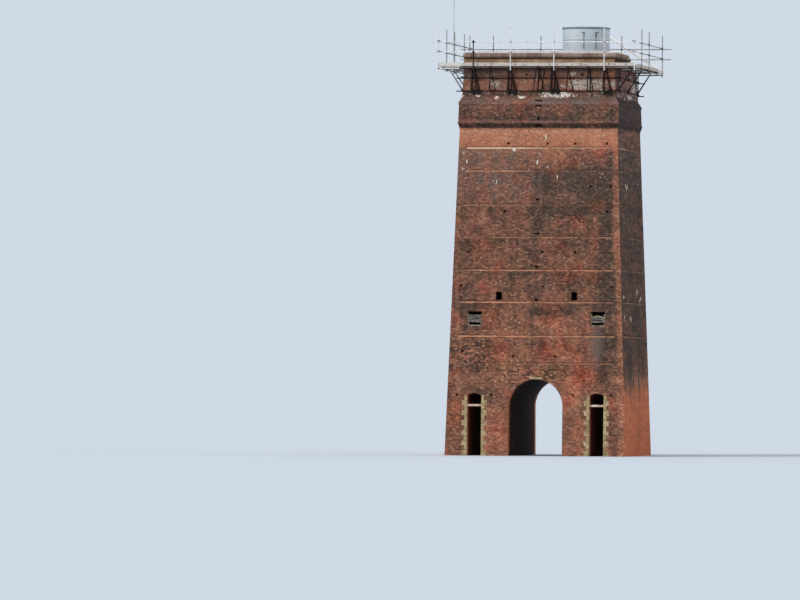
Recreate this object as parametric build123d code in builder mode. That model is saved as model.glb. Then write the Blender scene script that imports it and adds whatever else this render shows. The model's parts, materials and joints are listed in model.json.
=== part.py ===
# A tall square lime kiln of red brick: battered walls on a base with a tunnel through it, a projecting
# band, a neck and a rounded coping, with the tube scaffold that is clamped round its head.
# Millimetres, +Z up. The origin is on the ground in the middle of the plan. The front faces -Y.
from build123d import *
import math
import os

os.makedirs("parts", exist_ok=True)

# Heights of the stages
BASE_TOP = 3950
SHAFT_TOP = 14670
BAND_FACE_BOTTOM = 14940
BAND_FACE_TOP = 15790
NECK_BOTTOM = 16030
NECK_TOP = 17730
COPING_TOP = 18090

# The tower in plan: half widths outside, how much the shaft leans in, and the hollow inside
BASE_HALF = 4080
BATTER = 0.0353
INNER_HALF = 2700
CORBEL_STEP = 30
CORBEL_COURSES = 3
BAND_SETBACK = 25
STRING_COURSE = 90
NECK_HALF_BOTTOM = 3480
NECK_HALF_TOP = 3385
COPING_HALF = 3460
COPING_INNER = 2900
COPING_ROUND = 150

# Where the coping has broken away: height lost and how far the break reaches
FRONT_BREAK = ((130, 420), (60, 700))
BACK_BREAK_FROM = 2300
RIGHT_BREAK_FROM = 1300
RIGHT_BREAK_STEP = 450

# The tunnel and the two draw passages beside it, which run through the base from front to back
TUNNEL_RADIUS = 1225
SPRINGING = 2200
ARCH_RING = 460
ARCH_RING_DEPTH = 230
PASSAGE_MIDDLE = 2760
PASSAGE_HALF = 320
PASSAGE_SPRINGING = 2700
PASSAGE_RISE = 100

# Buff jambs of the draw openings, and the bars across them
QUOIN_LONG = 240
QUOIN_SHORT = 130
QUOIN_COURSE = 225
QUOIN_DEPTH = 115
BAR_BOTTOM = 2210
BAR_SIZE = 90
BAR_SETBACK = 60

# Grooves that iron hoops have left in all four faces
GROOVES = (4140, 5360, 6880, 8310, 9780, 11220, 12750, 13780)
GROOVE_HEIGHT = 100
GROOVE_DEPTH = 25
GROOVE_INSET = 350

# Holes in the front and back walls. Each place is given from the middle of the face
SQUARE_HOLE = (270, 360)
SQUARE_HOLE_AT = (1700, 7140)
FIRING_HOLE = (650, 670)
FIRING_HOLE_AT = (2780, 6115)
FIRING_HOLE_DEPTH = 500

# What is left in the firing holes: pale jambs and a sill, an arched piece, and iron plates behind them
JAMB = 60
JAMB_HEIGHT = 560
SILL_HEIGHT = 70
FRAME_SETBACK = 40
FRAME_DEPTH = 120
ARCH_PIECE = (430, 500, 90)
PLATE_SETBACK = 90
PLATE = 20
PLATE_BOTTOM = 180
LOW_PLATE_TOP = 380
HIGH_PLATE_TOP = 520
PLATE_SLIT = (400, 35)
PLATE_SLIT_TURN = 12

# Slots, and the holes that the builders' scaffold left
SLOT = (180, 80)
SLOT_HEIGHTS = (6975, 8445, 9935, 11455)
SLOT_DEPTH = 300
PUTLOG = 105
PUTLOG_DEPTH = 200
PUTLOGS = {
    13960: (-1340, 420, 1670, 3100),
    12410: (-2920,),
    12040: (2390, 3300),
    10930: (-1480, 3150),
    9100: (-3100, 240, 1720),
    7590: (-3420, 280, 3380),
    4670: (-3330,),
    4450: (-1020, 860),
}
BASE_PUTLOGS = (2720, (-3550, -1990, 1700, 3420))
NECK_PUTLOGS = (17040, (-570, 1950))
BAND_SLOTS = ((15880, 320, 60), (15650, 320, 60), (15070, 110, 110), (14760, 360, 80))
SIDE_PUTLOGS = {
    13960: (-2400, 0, 2400),
    10930: (-1500, 1500),
    7590: (-2400, 0, 2400),
    4670: (-1500, 1500),
}

# Shafts, charging floor and the drum on the right mouth
SHAFT_AT = 1600
SHAFT_RADIUS = 800
LINING = 230
FLOOR_TOP = 17700
FLOOR_THICKNESS = 300
DRUM_RADIUS = 1060
DRUM_PLATE = 12
DRUM_TOP = 19290
DRUM_RIM = 70

# Scaffold tubes and boards
TUBE = 48
STRUT = 41
STRUT_SIDES = 6
DECK_TOP = 17400
BOARD = 38
TOE_BOARD = 150
DECK_GAP = 12
STANDARD_LINE = 4440
STANDARD_FOOT = 17200
STANDARD_TOP = 19100
TOP_RAIL = 18470
MID_RAIL = 18010
RAIL_OVERRUN = 420
WALL_LEDGERS = (16300, 16880)
LEDGER_OVERRUN = 250
STRUT_REACH = 640
STRUT_SPREAD = {"front": 150, "right": 100, "back": 150, "left": 100}
TALL_POLE = 38
TALL_POLE_TOP = 20600
RAKING_POLE = 110
RAKING_POLE_ENDS = ((1870, 19120), (4580, 17350))

# Places along each side, from its middle, as seen by someone who faces it from outside
BRACKETS = {
    "front": (-2870, -2100, -1220, 90, 720, 1400, 2320, 3090),
    "right": (-2900, 0, 3000),
    "back": (-2900, -1900, -900, 0, 900, 1900, 2900),
    "left": (-3000, -500, 2000, 3300),
}
STANDARDS = {
    "front": (-4440, -2830, -1150, 810, 3080, 4440),
    "right": (-2150, 200),
    "back": (-4440, -2570, -810, 1150, 3350, 4440),
    "left": (-2900, -200, 2000),
}
CORNER_TRANSOM = 4200
TALL_POLE_AT = STANDARDS["left"][1]

SIDES = ("front", "right", "back", "left")
TURN = {"front": 0, "right": 90, "back": 180, "left": 270}


def runs_through(side):
    """Front and back pieces run to the corners, and left and right ones stand between them."""
    return side in ("front", "back")


def half_at(z):
    """Half width of the battered shaft at a height."""
    return BASE_HALF - BATTER * z


def neck_half_at(z):
    share = (z - NECK_BOTTOM) / (NECK_TOP - NECK_BOTTOM)
    return NECK_HALF_BOTTOM + share * (NECK_HALF_TOP - NECK_HALF_BOTTOM)


def finish(part, label):
    """Names a finished piece and writes it under that name."""
    part.label = label
    export_step(part, f"parts/{label}.step")


def frustum(z_low, half_low, z_high, half_high):
    """A square block with leaning faces, between two heights."""
    lean = math.degrees(math.atan((half_low - half_high) / (z_high - z_low)))
    with BuildPart() as block:
        with BuildSketch(Plane.XY.offset(z_low)):
            Rectangle(2 * half_low, 2 * half_low)
        extrude(amount=z_high - z_low, taper=lean)
    return block.part


def hollow_out(half, z_low, z_high):
    """Cuts a square well through the part that is being built."""
    with BuildSketch(Plane.XY.offset(z_low)) as well:
        Rectangle(2 * half, 2 * half)
    extrude(well.sketch, amount=z_high - z_low, mode=Mode.SUBTRACT)


def front_room(side, z_low, z_high, inner=INNER_HALF):
    """The room that one side's masonry takes, turned to the front."""
    length = 3 * BASE_HALF if runs_through(side) else 2 * inner
    with BuildPart() as room:
        with BuildSketch(Plane.XY.offset(z_low)):
            with Locations((0, -inner - BASE_HALF / 2)):
                Rectangle(length, BASE_HALF)
        extrude(amount=z_high - z_low)
    return room.part


def side_of(stage, side, z_low, z_high, inner=INNER_HALF):
    """One side of a stage, turned to the front. A stage is alike on its four sides."""
    with BuildPart() as piece:
        add(stage)
        add(front_room(side, z_low, z_high, inner), mode=Mode.INTERSECT)
    return piece.part


def front_hole(x, z, width, height, depth):
    """Adds the block that fills a square-edged hole in the front face."""
    with BuildSketch(Plane.XY.offset(z - height / 2)) as section:
        with Locations((x, -half_at(z))):
            Rectangle(width, 2 * depth)
    extrude(section.sketch, amount=height)


ENVELOPE = frustum(0, half_at(0), SHAFT_TOP, half_at(SHAFT_TOP))


# Outlines of the tunnel and of a draw passage, as seen from the front
def tunnel_outline():
    with BuildSketch() as outline:
        with Locations((0, SPRINGING / 2)):
            Rectangle(2 * TUNNEL_RADIUS, SPRINGING)
        with Locations((0, SPRINGING)):
            Circle(TUNNEL_RADIUS)
    return outline.sketch


def passage_outline():
    half, spring = PASSAGE_HALF, PASSAGE_SPRINGING
    with BuildSketch() as outline:
        with BuildLine():
            Polyline((-half, spring), (-half, 0), (half, 0), (half, spring))
            ThreePointArc((half, spring), (0, spring + PASSAGE_RISE), (-half, spring))
        make_face()
    return outline.sketch


def bore_through(outline, middle=0):
    """Cuts an outline from front to back through the part that is being built."""
    with BuildSketch(Plane.XZ) as opening:
        with Locations((middle, 0)):
            add(outline)
    extrude(opening.sketch, amount=BASE_HALF, both=True, mode=Mode.SUBTRACT)


# Arch rings of the tunnel: two rings of headers let into the front and the back
with BuildPart() as front_arch_ring:
    with BuildSketch(Plane.XZ):
        with Locations((0, SPRINGING)):
            Circle(TUNNEL_RADIUS + ARCH_RING)
            Circle(TUNNEL_RADIUS, mode=Mode.SUBTRACT)
        with Locations((0, SPRINGING - BASE_HALF / 2)):
            Rectangle(2 * BASE_HALF, BASE_HALF, mode=Mode.SUBTRACT)
    extrude(amount=BASE_HALF)
    hollow_out(half_at(SPRINGING + TUNNEL_RADIUS + ARCH_RING) - ARCH_RING_DEPTH, SPRINGING, BASE_TOP)
    add(ENVELOPE, mode=Mode.INTERSECT)
back_arch_ring = front_arch_ring.part.rotate(Axis.Z, TURN["back"])
finish(front_arch_ring.part, "front_arch_ring")
finish(back_arch_ring, "back_arch_ring")


# Surrounds of the draw openings: a pair of toothed jambs of buff brick
def draw_surround(middle):
    with BuildPart() as surround:
        for course in range(PASSAGE_SPRINGING // QUOIN_COURSE):
            width = QUOIN_SHORT if course % 2 else QUOIN_LONG
            with BuildSketch(Plane.XY.offset(course * QUOIN_COURSE)):
                for way in (-1, 1):
                    with Locations((middle + way * (PASSAGE_HALF + width / 2), -BASE_HALF)):
                        Rectangle(width, BASE_HALF)
            extrude(amount=QUOIN_COURSE)
        hollow_out(half_at(BASE_TOP) - QUOIN_DEPTH, 0, BASE_TOP)
        add(ENVELOPE, mode=Mode.INTERSECT)
    return surround.part


front_draw_surrounds = Compound(children=[draw_surround(way * PASSAGE_MIDDLE) for way in (-1, 1)])
back_draw_surrounds = front_draw_surrounds.rotate(Axis.Z, TURN["back"])
finish(front_draw_surrounds, "front_draw_surrounds")
finish(back_draw_surrounds, "back_draw_surrounds")

# Holes that the builders' scaffold left in the lower stage
with BuildPart() as front_base_holes:
    hole_z, places = BASE_PUTLOGS
    for x in places:
        front_hole(x, hole_z, PUTLOG, PUTLOG, PUTLOG_DEPTH)
back_base_holes = front_base_holes.part.rotate(Axis.Z, TURN["back"])

CUT_FROM_BASE = (
    front_arch_ring.part, back_arch_ring, front_draw_surrounds, back_draw_surrounds,
    front_base_holes.part, back_base_holes,
)

# A square bar across each draw opening
with BuildPart() as draw_bars:
    with BuildSketch(Plane.XY.offset(BAR_BOTTOM)):
        bar_y = half_at(BAR_BOTTOM) - BAR_SETBACK - BAR_SIZE / 2
        with GridLocations(2 * PASSAGE_MIDDLE, 2 * bar_y, 2, 2):
            Rectangle(2 * PASSAGE_HALF, BAR_SIZE)
    extrude(amount=BAR_SIZE)
finish(draw_bars.part, "draw_bars")


# Lower stage: blocks of masonry beside and over the tunnel and the passages
def base_block(x_low, x_high, z_low, z_high, bores=()):
    with BuildPart() as block:
        with BuildSketch(Plane.XY.offset(z_low)):
            with Locations(((x_low + x_high) / 2, 0)):
                Rectangle(x_high - x_low, 2 * BASE_HALF)
        extrude(amount=z_high - z_low)
        add(ENVELOPE, mode=Mode.INTERSECT)
        for outline, middle in bores:
            bore_through(outline, middle)
        for piece in CUT_FROM_BASE:
            add(piece, mode=Mode.SUBTRACT)
    return block.part


PASSAGE_INSIDE = PASSAGE_MIDDLE - PASSAGE_HALF
PASSAGE_OUTSIDE = PASSAGE_MIDDLE + PASSAGE_HALF
tunnel_vault = base_block(
    -PASSAGE_INSIDE, PASSAGE_INSIDE, SPRINGING, BASE_TOP, [(tunnel_outline(), 0)]
)
finish(tunnel_vault, "tunnel_vault")
for way, name in ((-1, "left"), (1, "right")):
    wall = base_block(*sorted((way * PASSAGE_OUTSIDE, way * BASE_HALF)), 0, BASE_TOP)
    finish(wall, f"{name}_base_wall")
    pier = base_block(*sorted((way * TUNNEL_RADIUS, way * PASSAGE_INSIDE)), 0, SPRINGING)
    finish(pier, f"{name}_tunnel_pier")
    cover = base_block(
        *sorted((way * PASSAGE_INSIDE, way * PASSAGE_OUTSIDE)), PASSAGE_SPRINGING, BASE_TOP,
        [(passage_outline(), way * PASSAGE_MIDDLE)],
    )
    finish(cover, f"{name}_passage_cover")

# Shaft walls: one battered ring with the hoop grooves, cut into four sides
with BuildPart() as shaft:
    add(frustum(BASE_TOP, half_at(BASE_TOP), SHAFT_TOP, half_at(SHAFT_TOP)))
    hollow_out(INNER_HALF, BASE_TOP, SHAFT_TOP)
    for groove_z in GROOVES:
        groove_length = 2 * (half_at(groove_z) - GROOVE_INSET)
        with BuildSketch(Plane.XY.offset(groove_z - GROOVE_HEIGHT / 2)):
            with PolarLocations(half_at(groove_z), len(SIDES)):
                Rectangle(2 * GROOVE_DEPTH, groove_length)
        extrude(amount=GROOVE_HEIGHT, mode=Mode.SUBTRACT)

for side in SIDES:
    with BuildPart() as holes:
        for z, places in (PUTLOGS if runs_through(side) else SIDE_PUTLOGS).items():
            for x in places:
                front_hole(x, z, PUTLOG, PUTLOG, PUTLOG_DEPTH)
        if runs_through(side):
            for z in SLOT_HEIGHTS:
                front_hole(0, z, *SLOT, SLOT_DEPTH)
            for way in (-1, 1):
                hole_x, hole_z = SQUARE_HOLE_AT
                front_hole(way * hole_x, hole_z, *SQUARE_HOLE, BASE_HALF - INNER_HALF)
                hole_x, hole_z = FIRING_HOLE_AT
                front_hole(way * hole_x, hole_z, *FIRING_HOLE, FIRING_HOLE_DEPTH)
    with BuildPart() as wall:
        add(side_of(shaft.part, side, BASE_TOP, SHAFT_TOP))
        add(holes.part, mode=Mode.SUBTRACT)
    finish(wall.part.rotate(Axis.Z, TURN[side]), f"{side}_wall")


# What is left in the firing holes. Heights are above the hole's lower edge
def firing_hole_plane(setback):
    """An upright plane in a firing hole's mouth, at a distance behind the wall's face."""
    return Plane.XZ.offset(half_at(FIRING_HOLE_AT[1]) - setback)


def firing_frame(x, arched):
    width, height = FIRING_HOLE
    low = FIRING_HOLE_AT[1] - height / 2
    inside = width / 2 - JAMB
    with BuildPart() as frame:
        with BuildSketch(firing_hole_plane(FRAME_SETBACK + FRAME_DEPTH)):
            with Locations((x, low + JAMB_HEIGHT / 2)):
                Rectangle(width, JAMB_HEIGHT)
            with Locations((x, low + (SILL_HEIGHT + JAMB_HEIGHT) / 2)):
                Rectangle(2 * inside, JAMB_HEIGHT - SILL_HEIGHT, mode=Mode.SUBTRACT)
        extrude(amount=FRAME_DEPTH)
        if arched:
            spring, crown, thick = ARCH_PIECE
            with BuildSketch(firing_hole_plane(FRAME_SETBACK + PLATE)) as arch:
                with BuildLine():
                    ThreePointArc((x - inside, low + spring), (x, low + crown), (x + inside, low + spring))
                    Line((x + inside, low + spring), (x + inside, low + spring - thick))
                    ThreePointArc(
                        (x + inside, low + spring - thick), (x, low + crown - thick),
                        (x - inside, low + spring - thick),
                    )
                    Line((x - inside, low + spring - thick), (x - inside, low + spring))
                make_face()
            extrude(arch.sketch, amount=PLATE)
    return frame.part


def firing_plate(x, top, turn):
    """An iron plate between the jambs, with a slit across it."""
    low = FIRING_HOLE_AT[1] - FIRING_HOLE[1] / 2
    with BuildPart() as plate:
        with BuildSketch(firing_hole_plane(PLATE_SETBACK + PLATE)):
            with Locations((x, low + (PLATE_BOTTOM + top) / 2)):
                Rectangle(FIRING_HOLE[0] - 2 * JAMB, top - PLATE_BOTTOM)
                Rectangle(*PLATE_SLIT, rotation=turn, mode=Mode.SUBTRACT)
        extrude(amount=PLATE)
    return plate.part


firing_x = FIRING_HOLE_AT[0]
firing_frames = Compound(children=[firing_frame(-firing_x, False), firing_frame(firing_x, True)])
firing_plates = Compound(children=[
    firing_plate(-firing_x, HIGH_PLATE_TOP, PLATE_SLIT_TURN), firing_plate(firing_x, LOW_PLATE_TOP, 0),
])
for side in ("front", "back"):
    finish(firing_frames.rotate(Axis.Z, TURN[side]), f"{side}_firing_frames")
    finish(firing_plates.rotate(Axis.Z, TURN[side]), f"{side}_firing_plates")

# Band: corbelled courses, a tall face, a string course and a weathering that slopes back to the neck
with BuildPart() as band:
    corbel_height = (BAND_FACE_BOTTOM - SHAFT_TOP) / CORBEL_COURSES
    band_half = half_at(SHAFT_TOP)
    for course in range(CORBEL_COURSES):
        band_half += CORBEL_STEP
        with BuildSketch(Plane.XY.offset(SHAFT_TOP + course * corbel_height)):
            Rectangle(2 * band_half, 2 * band_half)
        extrude(amount=corbel_height)
    face_half = band_half - BAND_SETBACK
    face_top_half = face_half - BATTER * (BAND_FACE_TOP - BAND_FACE_BOTTOM)
    string_half = face_top_half + BAND_SETBACK
    add(frustum(BAND_FACE_BOTTOM, face_half, BAND_FACE_TOP, face_top_half))
    with BuildSketch(Plane.XY.offset(BAND_FACE_TOP - STRING_COURSE)):
        Rectangle(2 * string_half, 2 * string_half)
    extrude(amount=STRING_COURSE)
    add(frustum(BAND_FACE_TOP, string_half, NECK_BOTTOM, NECK_HALF_BOTTOM))
    hollow_out(INNER_HALF, SHAFT_TOP, NECK_BOTTOM)

# Neck
with BuildPart() as neck:
    add(frustum(NECK_BOTTOM, NECK_HALF_BOTTOM, NECK_TOP, NECK_HALF_TOP))
    hollow_out(INNER_HALF, NECK_BOTTOM, NECK_TOP)

# Coping: a round-nosed roll
with BuildPart() as coping:
    with BuildSketch(Plane.XY.offset(NECK_TOP)):
        Rectangle(2 * COPING_HALF, 2 * COPING_HALF)
    extrude(amount=COPING_TOP - NECK_TOP)
    level_edges = coping.edges().filter_by(Axis.Z, reverse=True)
    fillet(level_edges, COPING_ROUND)
    hollow_out(COPING_INNER, NECK_TOP, COPING_TOP)


def break_away(x_low, x_high, z_low):
    """Cuts the front coping down to a height between two places along it."""
    with BuildSketch(Plane.XY.offset(z_low)) as gap:
        with Locations(((x_low + x_high) / 2, -COPING_HALF)):
            Rectangle(x_high - x_low, 2 * COPING_HALF)
    extrude(gap.sketch, amount=COPING_TOP - z_low, mode=Mode.SUBTRACT)


for side in SIDES:
    with BuildPart() as side_band:
        add(side_of(band.part, side, SHAFT_TOP, NECK_BOTTOM))
    with BuildPart() as side_neck:
        add(side_of(neck.part, side, NECK_BOTTOM, NECK_TOP))
    if runs_through(side):
        with BuildPart() as slots:
            for z, width, height in BAND_SLOTS:
                front_hole(0, z, width, height, SLOT_DEPTH)
        with side_band:
            add(slots.part, mode=Mode.SUBTRACT)
        with BuildPart() as holes:
            for x in NECK_PUTLOGS[1]:
                front_hole(x, NECK_PUTLOGS[0], PUTLOG, PUTLOG, PUTLOG_DEPTH)
        with side_neck:
            add(holes.part, mode=Mode.SUBTRACT)
    finish(side_band.part.rotate(Axis.Z, TURN[side]), f"{side}_band")
    finish(side_neck.part.rotate(Axis.Z, TURN[side]), f"{side}_neck")
    with BuildPart() as side_coping:
        add(side_of(coping.part, side, NECK_TOP, COPING_TOP, COPING_INNER))
        if side == "front":
            for lost, reach in FRONT_BREAK:
                break_away(-COPING_HALF, -COPING_HALF + reach, COPING_TOP - lost)
        if side == "right":
            break_away(RIGHT_BREAK_FROM, COPING_HALF, NECK_TOP)
            break_away(RIGHT_BREAK_FROM - RIGHT_BREAK_STEP, COPING_HALF, (NECK_TOP + COPING_TOP) / 2)
        if side == "back":
            break_away(-COPING_HALF, -BACK_BREAK_FROM, NECK_TOP)
    finish(side_coping.part.rotate(Axis.Z, TURN[side]), f"{side}_coping")

# Round shaft linings, and the charging floor with a mouth over each
for way, name in ((-1, "left"), (1, "right")):
    with BuildPart() as lining:
        with BuildSketch(Plane.XY.offset(BASE_TOP)):
            with Locations((way * SHAFT_AT, 0)):
                Circle(SHAFT_RADIUS + LINING)
                Circle(SHAFT_RADIUS, mode=Mode.SUBTRACT)
        extrude(amount=FLOOR_TOP - FLOOR_THICKNESS - BASE_TOP)
    finish(lining.part, f"{name}_shaft_lining")

with BuildPart() as charging_floor:
    with BuildSketch(Plane.XY.offset(FLOOR_TOP - FLOOR_THICKNESS)):
        Rectangle(2 * INNER_HALF, 2 * INNER_HALF)
        with GridLocations(2 * SHAFT_AT, 0, 2, 1):
            Circle(SHAFT_RADIUS, mode=Mode.SUBTRACT)
    extrude(amount=FLOOR_THICKNESS)
finish(charging_floor.part, "charging_floor")

# Steel drum round the right mouth, with a rim
with BuildPart() as drum:
    with BuildSketch(Plane.XY.offset(FLOOR_TOP)):
        with Locations((SHAFT_AT, 0)):
            Circle(DRUM_RADIUS)
            Circle(DRUM_RADIUS - DRUM_PLATE, mode=Mode.SUBTRACT)
    extrude(amount=DRUM_TOP - FLOOR_TOP)
    with BuildSketch(Plane.XY.offset(DRUM_TOP - DRUM_RIM)):
        with Locations((SHAFT_AT, 0)):
            Circle(DRUM_RADIUS + DRUM_RIM / 2)
            Circle(DRUM_RADIUS - DRUM_PLATE, mode=Mode.SUBTRACT)
    extrude(amount=DRUM_RIM)
finish(drum.part, "charging_drum")


# Scaffold tubes: bars of few sides, whose flats face along the axes
def tube(start, end, across=TUBE, sides=8):
    """A bar from one point to another, joined to the part that is being built."""
    start, end = Vector(*start), Vector(*end)
    along = (end - start).normalized()
    across_dir = Vector(1, 0, 0) if abs(along.X) < 0.9 else Vector(0, 1, 0)
    with BuildSketch(Plane(origin=start, x_dir=across_dir, z_dir=along)) as section:
        RegularPolygon(across / 2, sides, major_radius=False, rotation=180 / sides)
    extrude(section.sketch, amount=(end - start).length)


def level_tube(half_length, y, z):
    tube((-half_length, y, z), (half_length, y, z))


def strut(start, end):
    """A six-sided bar, whose corners stay within a round tube."""
    tube(start, end, STRUT, STRUT_SIDES)


DECK_INNER = neck_half_at(DECK_TOP - BOARD) + DECK_GAP
DECK_OUTER = STANDARD_LINE - TUBE / 2
TRANSOM_Z = DECK_TOP - BOARD - TUBE / 2
EDGE_LEDGER_Z = TRANSOM_Z - TUBE
EDGE_LEDGER_LINE = STANDARD_LINE - TUBE
LOWEST_LEDGER = WALL_LEDGERS[0]
WALL_LEDGER_LINE = neck_half_at(LOWEST_LEDGER - TUBE / 2) + TUBE / 2
LEG_LINE = WALL_LEDGER_LINE + TUBE
STRUT_LINE = WALL_LEDGER_LINE + STRUT_REACH

for side in SIDES:
    through = runs_through(side)
    lift = 0 if through else TUBE

    # Boards of one side's deck, joined with the toe board that stands along their outer edge
    with BuildPart() as deck:
        with BuildSketch(Plane.XY.offset(DECK_TOP - BOARD)):
            with Locations((0, -(DECK_INNER + DECK_OUTER) / 2)):
                Rectangle(2 * (DECK_OUTER if through else DECK_INNER), DECK_OUTER - DECK_INNER)
        extrude(amount=BOARD)
        with BuildSketch(Plane.XY.offset(DECK_TOP)):
            toe_half = DECK_OUTER if through else DECK_INNER
            with Locations((0, -DECK_OUTER + BOARD / 2)):
                Rectangle(2 * toe_half, BOARD)
        extrude(amount=TOE_BOARD)
    finish(deck.part.rotate(Axis.Z, TURN[side]), f"{side}_deck")

    # Brackets: transoms under the boards, ledgers against the neck, and raking struts in pairs
    with BuildPart() as brackets:
        edge_half = DECK_OUTER if through else EDGE_LEDGER_LINE - TUBE / 2
        level_tube(edge_half, -EDGE_LEDGER_LINE, EDGE_LEDGER_Z)
        for z in WALL_LEDGERS:
            level_tube(WALL_LEDGER_LINE + LEDGER_OVERRUN, -WALL_LEDGER_LINE, z + lift)
        transoms = BRACKETS[side] + ((-CORNER_TRANSOM, CORNER_TRANSOM) if through else ())
        for x in transoms:
            tube((x, -DECK_OUTER, TRANSOM_Z), (x, -DECK_INNER, TRANSOM_Z))
        for x in BRACKETS[side]:
            for way in (-1, 1):
                foot = (x + way * STRUT_SPREAD[side], -WALL_LEDGER_LINE, LOWEST_LEDGER + lift)
                strut((x, -STRUT_LINE, TRANSOM_Z), foot)
        for x in BRACKETS[side][::2]:
            strut((x, -LEG_LINE, TRANSOM_Z), (x, -LEG_LINE, LOWEST_LEDGER - TUBE))
    finish(brackets.part.rotate(Axis.Z, TURN[side]), f"{side}_brackets")

    # Guard rail: standards with two rails inside them
    with BuildPart() as guard_rail:
        for x in STANDARDS[side]:
            tube((x, -STANDARD_LINE, STANDARD_FOOT), (x, -STANDARD_LINE, STANDARD_TOP))
        rail_half = STANDARD_LINE + RAIL_OVERRUN
        for z in (MID_RAIL, TOP_RAIL):
            level_tube(rail_half, -EDGE_LEDGER_LINE, z + lift)
    finish(guard_rail.part.rotate(Axis.Z, TURN[side]), f"{side}_guard_rail")

# A tall thin pole outside a standard of the left side
with BuildPart() as tall_pole:
    pole_line = STANDARD_LINE + (TUBE + TALL_POLE) / 2
    tube(
        (-pole_line, -TALL_POLE_AT, STANDARD_FOOT), (-pole_line, -TALL_POLE_AT, TALL_POLE_TOP), TALL_POLE
    )
finish(tall_pole.part, "tall_pole")

# A white pole that rakes across the outside of the back standards
with BuildPart() as raking_pole:
    rake_y = STANDARD_LINE + (TUBE + RAKING_POLE) / 2
    (rake_x0, rake_z0), (rake_x1, rake_z1) = RAKING_POLE_ENDS
    tube((rake_x0, rake_y, rake_z0), (rake_x1, rake_y, rake_z1), RAKING_POLE)
finish(raking_pole.part, "raking_pole")
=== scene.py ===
# %% [markdown]
# # A ruined lime kiln
# A lime kiln burnt chalk to lime. This one is a square brick tower, 18 m high, with a tunnel through its foot.
# The shapes come from the CAD model, which is loaded first and never changed. This script gives the walls their
# weathered brick, and adds the small things that a CAD model leaves out: single bricks, boards, tubes and clamps.
# Everything is in metres, +Z is up, and the front of the kiln faces -Y.

# %% Load the frame
import json
import math
import random
from types import SimpleNamespace

import bmesh
import bpy
from mathutils import Euler, Matrix, Vector


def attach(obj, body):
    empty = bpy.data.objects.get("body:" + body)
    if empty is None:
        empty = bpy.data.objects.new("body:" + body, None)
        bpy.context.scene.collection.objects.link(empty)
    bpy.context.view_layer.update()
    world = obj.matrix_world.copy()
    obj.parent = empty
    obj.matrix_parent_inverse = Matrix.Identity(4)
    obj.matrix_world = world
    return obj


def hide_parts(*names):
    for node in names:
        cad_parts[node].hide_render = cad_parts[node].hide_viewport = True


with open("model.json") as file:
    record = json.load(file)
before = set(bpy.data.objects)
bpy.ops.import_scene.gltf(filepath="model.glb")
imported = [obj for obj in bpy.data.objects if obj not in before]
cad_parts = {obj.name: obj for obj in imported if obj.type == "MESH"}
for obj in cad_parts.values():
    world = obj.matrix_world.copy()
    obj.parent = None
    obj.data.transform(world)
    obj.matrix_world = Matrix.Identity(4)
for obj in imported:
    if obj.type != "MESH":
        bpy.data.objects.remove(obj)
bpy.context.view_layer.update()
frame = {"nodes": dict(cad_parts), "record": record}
nodes = frame["nodes"]
print("nodes loaded:", len(nodes))

# %% [markdown]
# ## Sizes
# The numbers that several pieces share are named once. They are the same as in the CAD model. What is placed on
# the front is turned to the other three faces, so every piece is described only once.

# %% Sizes of the tower
SIDES, WIDE_SIDES = ("front", "right", "back", "left"), ("front", "back")
TURN = {"front": 0.0, "right": math.pi / 2, "back": math.pi, "left": 1.5 * math.pi}
BASE_HALF, BATTER = 4.08, 0.0353
BASE_TOP, SHAFT_TOP, TOP = 3.95, 14.67, 18.0
NECK_LOW, NECK_HIGH = 16.03, 17.73
NECK_HALF_LOW, NECK_HALF_HIGH = 3.48, 3.385
BRICK, COURSE, JOINT = 0.125, 0.076, 0.010
GROOVES = (4.14, 5.36, 6.88, 8.31, 9.78, 11.22, 12.75, 13.78)


def half_at(z):
    """Half width of the leaning shaft at a height."""
    return BASE_HALF - BATTER * z


def neck_half_at(z):
    return NECK_HALF_LOW + (z - NECK_LOW) / (NECK_HIGH - NECK_LOW) * (NECK_HALF_HIGH - NECK_HALF_LOW)


def face_turned(point, side):
    """Turns a point of the front face to the same place on another face."""
    return Matrix.Rotation(TURN[side], 4, "Z") @ Vector(point)


print("half width at the foot and under the band:", half_at(0), round(half_at(SHAFT_TOP), 3))

# %% [markdown]
# ## Camera
# The photograph was taken from far away with a long lens, so lines that lead away from us hardly shrink.
# The camera stands 400 m off, 3 m above the kiln's foot. It aims left of the kiln, so that the kiln is right of the
# middle, and it is held a third of a degree askew, as a camera in the hand is.

# %% Camera
LENS, SENSOR, WIDTH = 397.3, 36.0, 800
DISTANCE, ROUND, ASKEW, EYE = 398.0, math.radians(8.76), math.radians(0.37), 2.92
PIXELS_LEFT, PIXELS_UP = 149.5, 89.7  # how far the camera aims left of the kiln and above level
NEAREST, FURTHEST = 10.0, 3000.0
PIXELS = LENS / SENSOR * WIDTH
AIM_LEFT, AIM_UP = math.atan(PIXELS_LEFT / PIXELS), math.atan(PIXELS_UP / PIXELS)

camera = bpy.data.objects.new("camera", bpy.data.cameras.new("camera"))
bpy.context.scene.collection.objects.link(camera)
camera.data.lens, camera.data.sensor_width = LENS, SENSOR
camera.data.clip_start, camera.data.clip_end = NEAREST, FURTHEST
camera.location = (DISTANCE * math.sin(ROUND), -DISTANCE * math.cos(ROUND), EYE)
aim = Euler((math.radians(90) + AIM_UP, 0.0, ROUND + AIM_LEFT)).to_matrix()
camera.rotation_euler = (aim @ Matrix.Rotation(ASKEW, 3, "Z")).to_euler()
bpy.context.scene.camera = camera
bpy.context.scene.view_settings.view_transform = "Standard"
print("one pixel at the kiln is", round(DISTANCE / PIXELS * 1000, 1), "mm")

# %% [markdown]
# ## Helpers for colours and nodes
# Colours are written as on a web page, and turned to the linear values that Blender works in. One small function
# adds a node, sets it up and links it, so that a material reads from top to bottom like a recipe.

# %% Colour and node helpers


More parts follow.
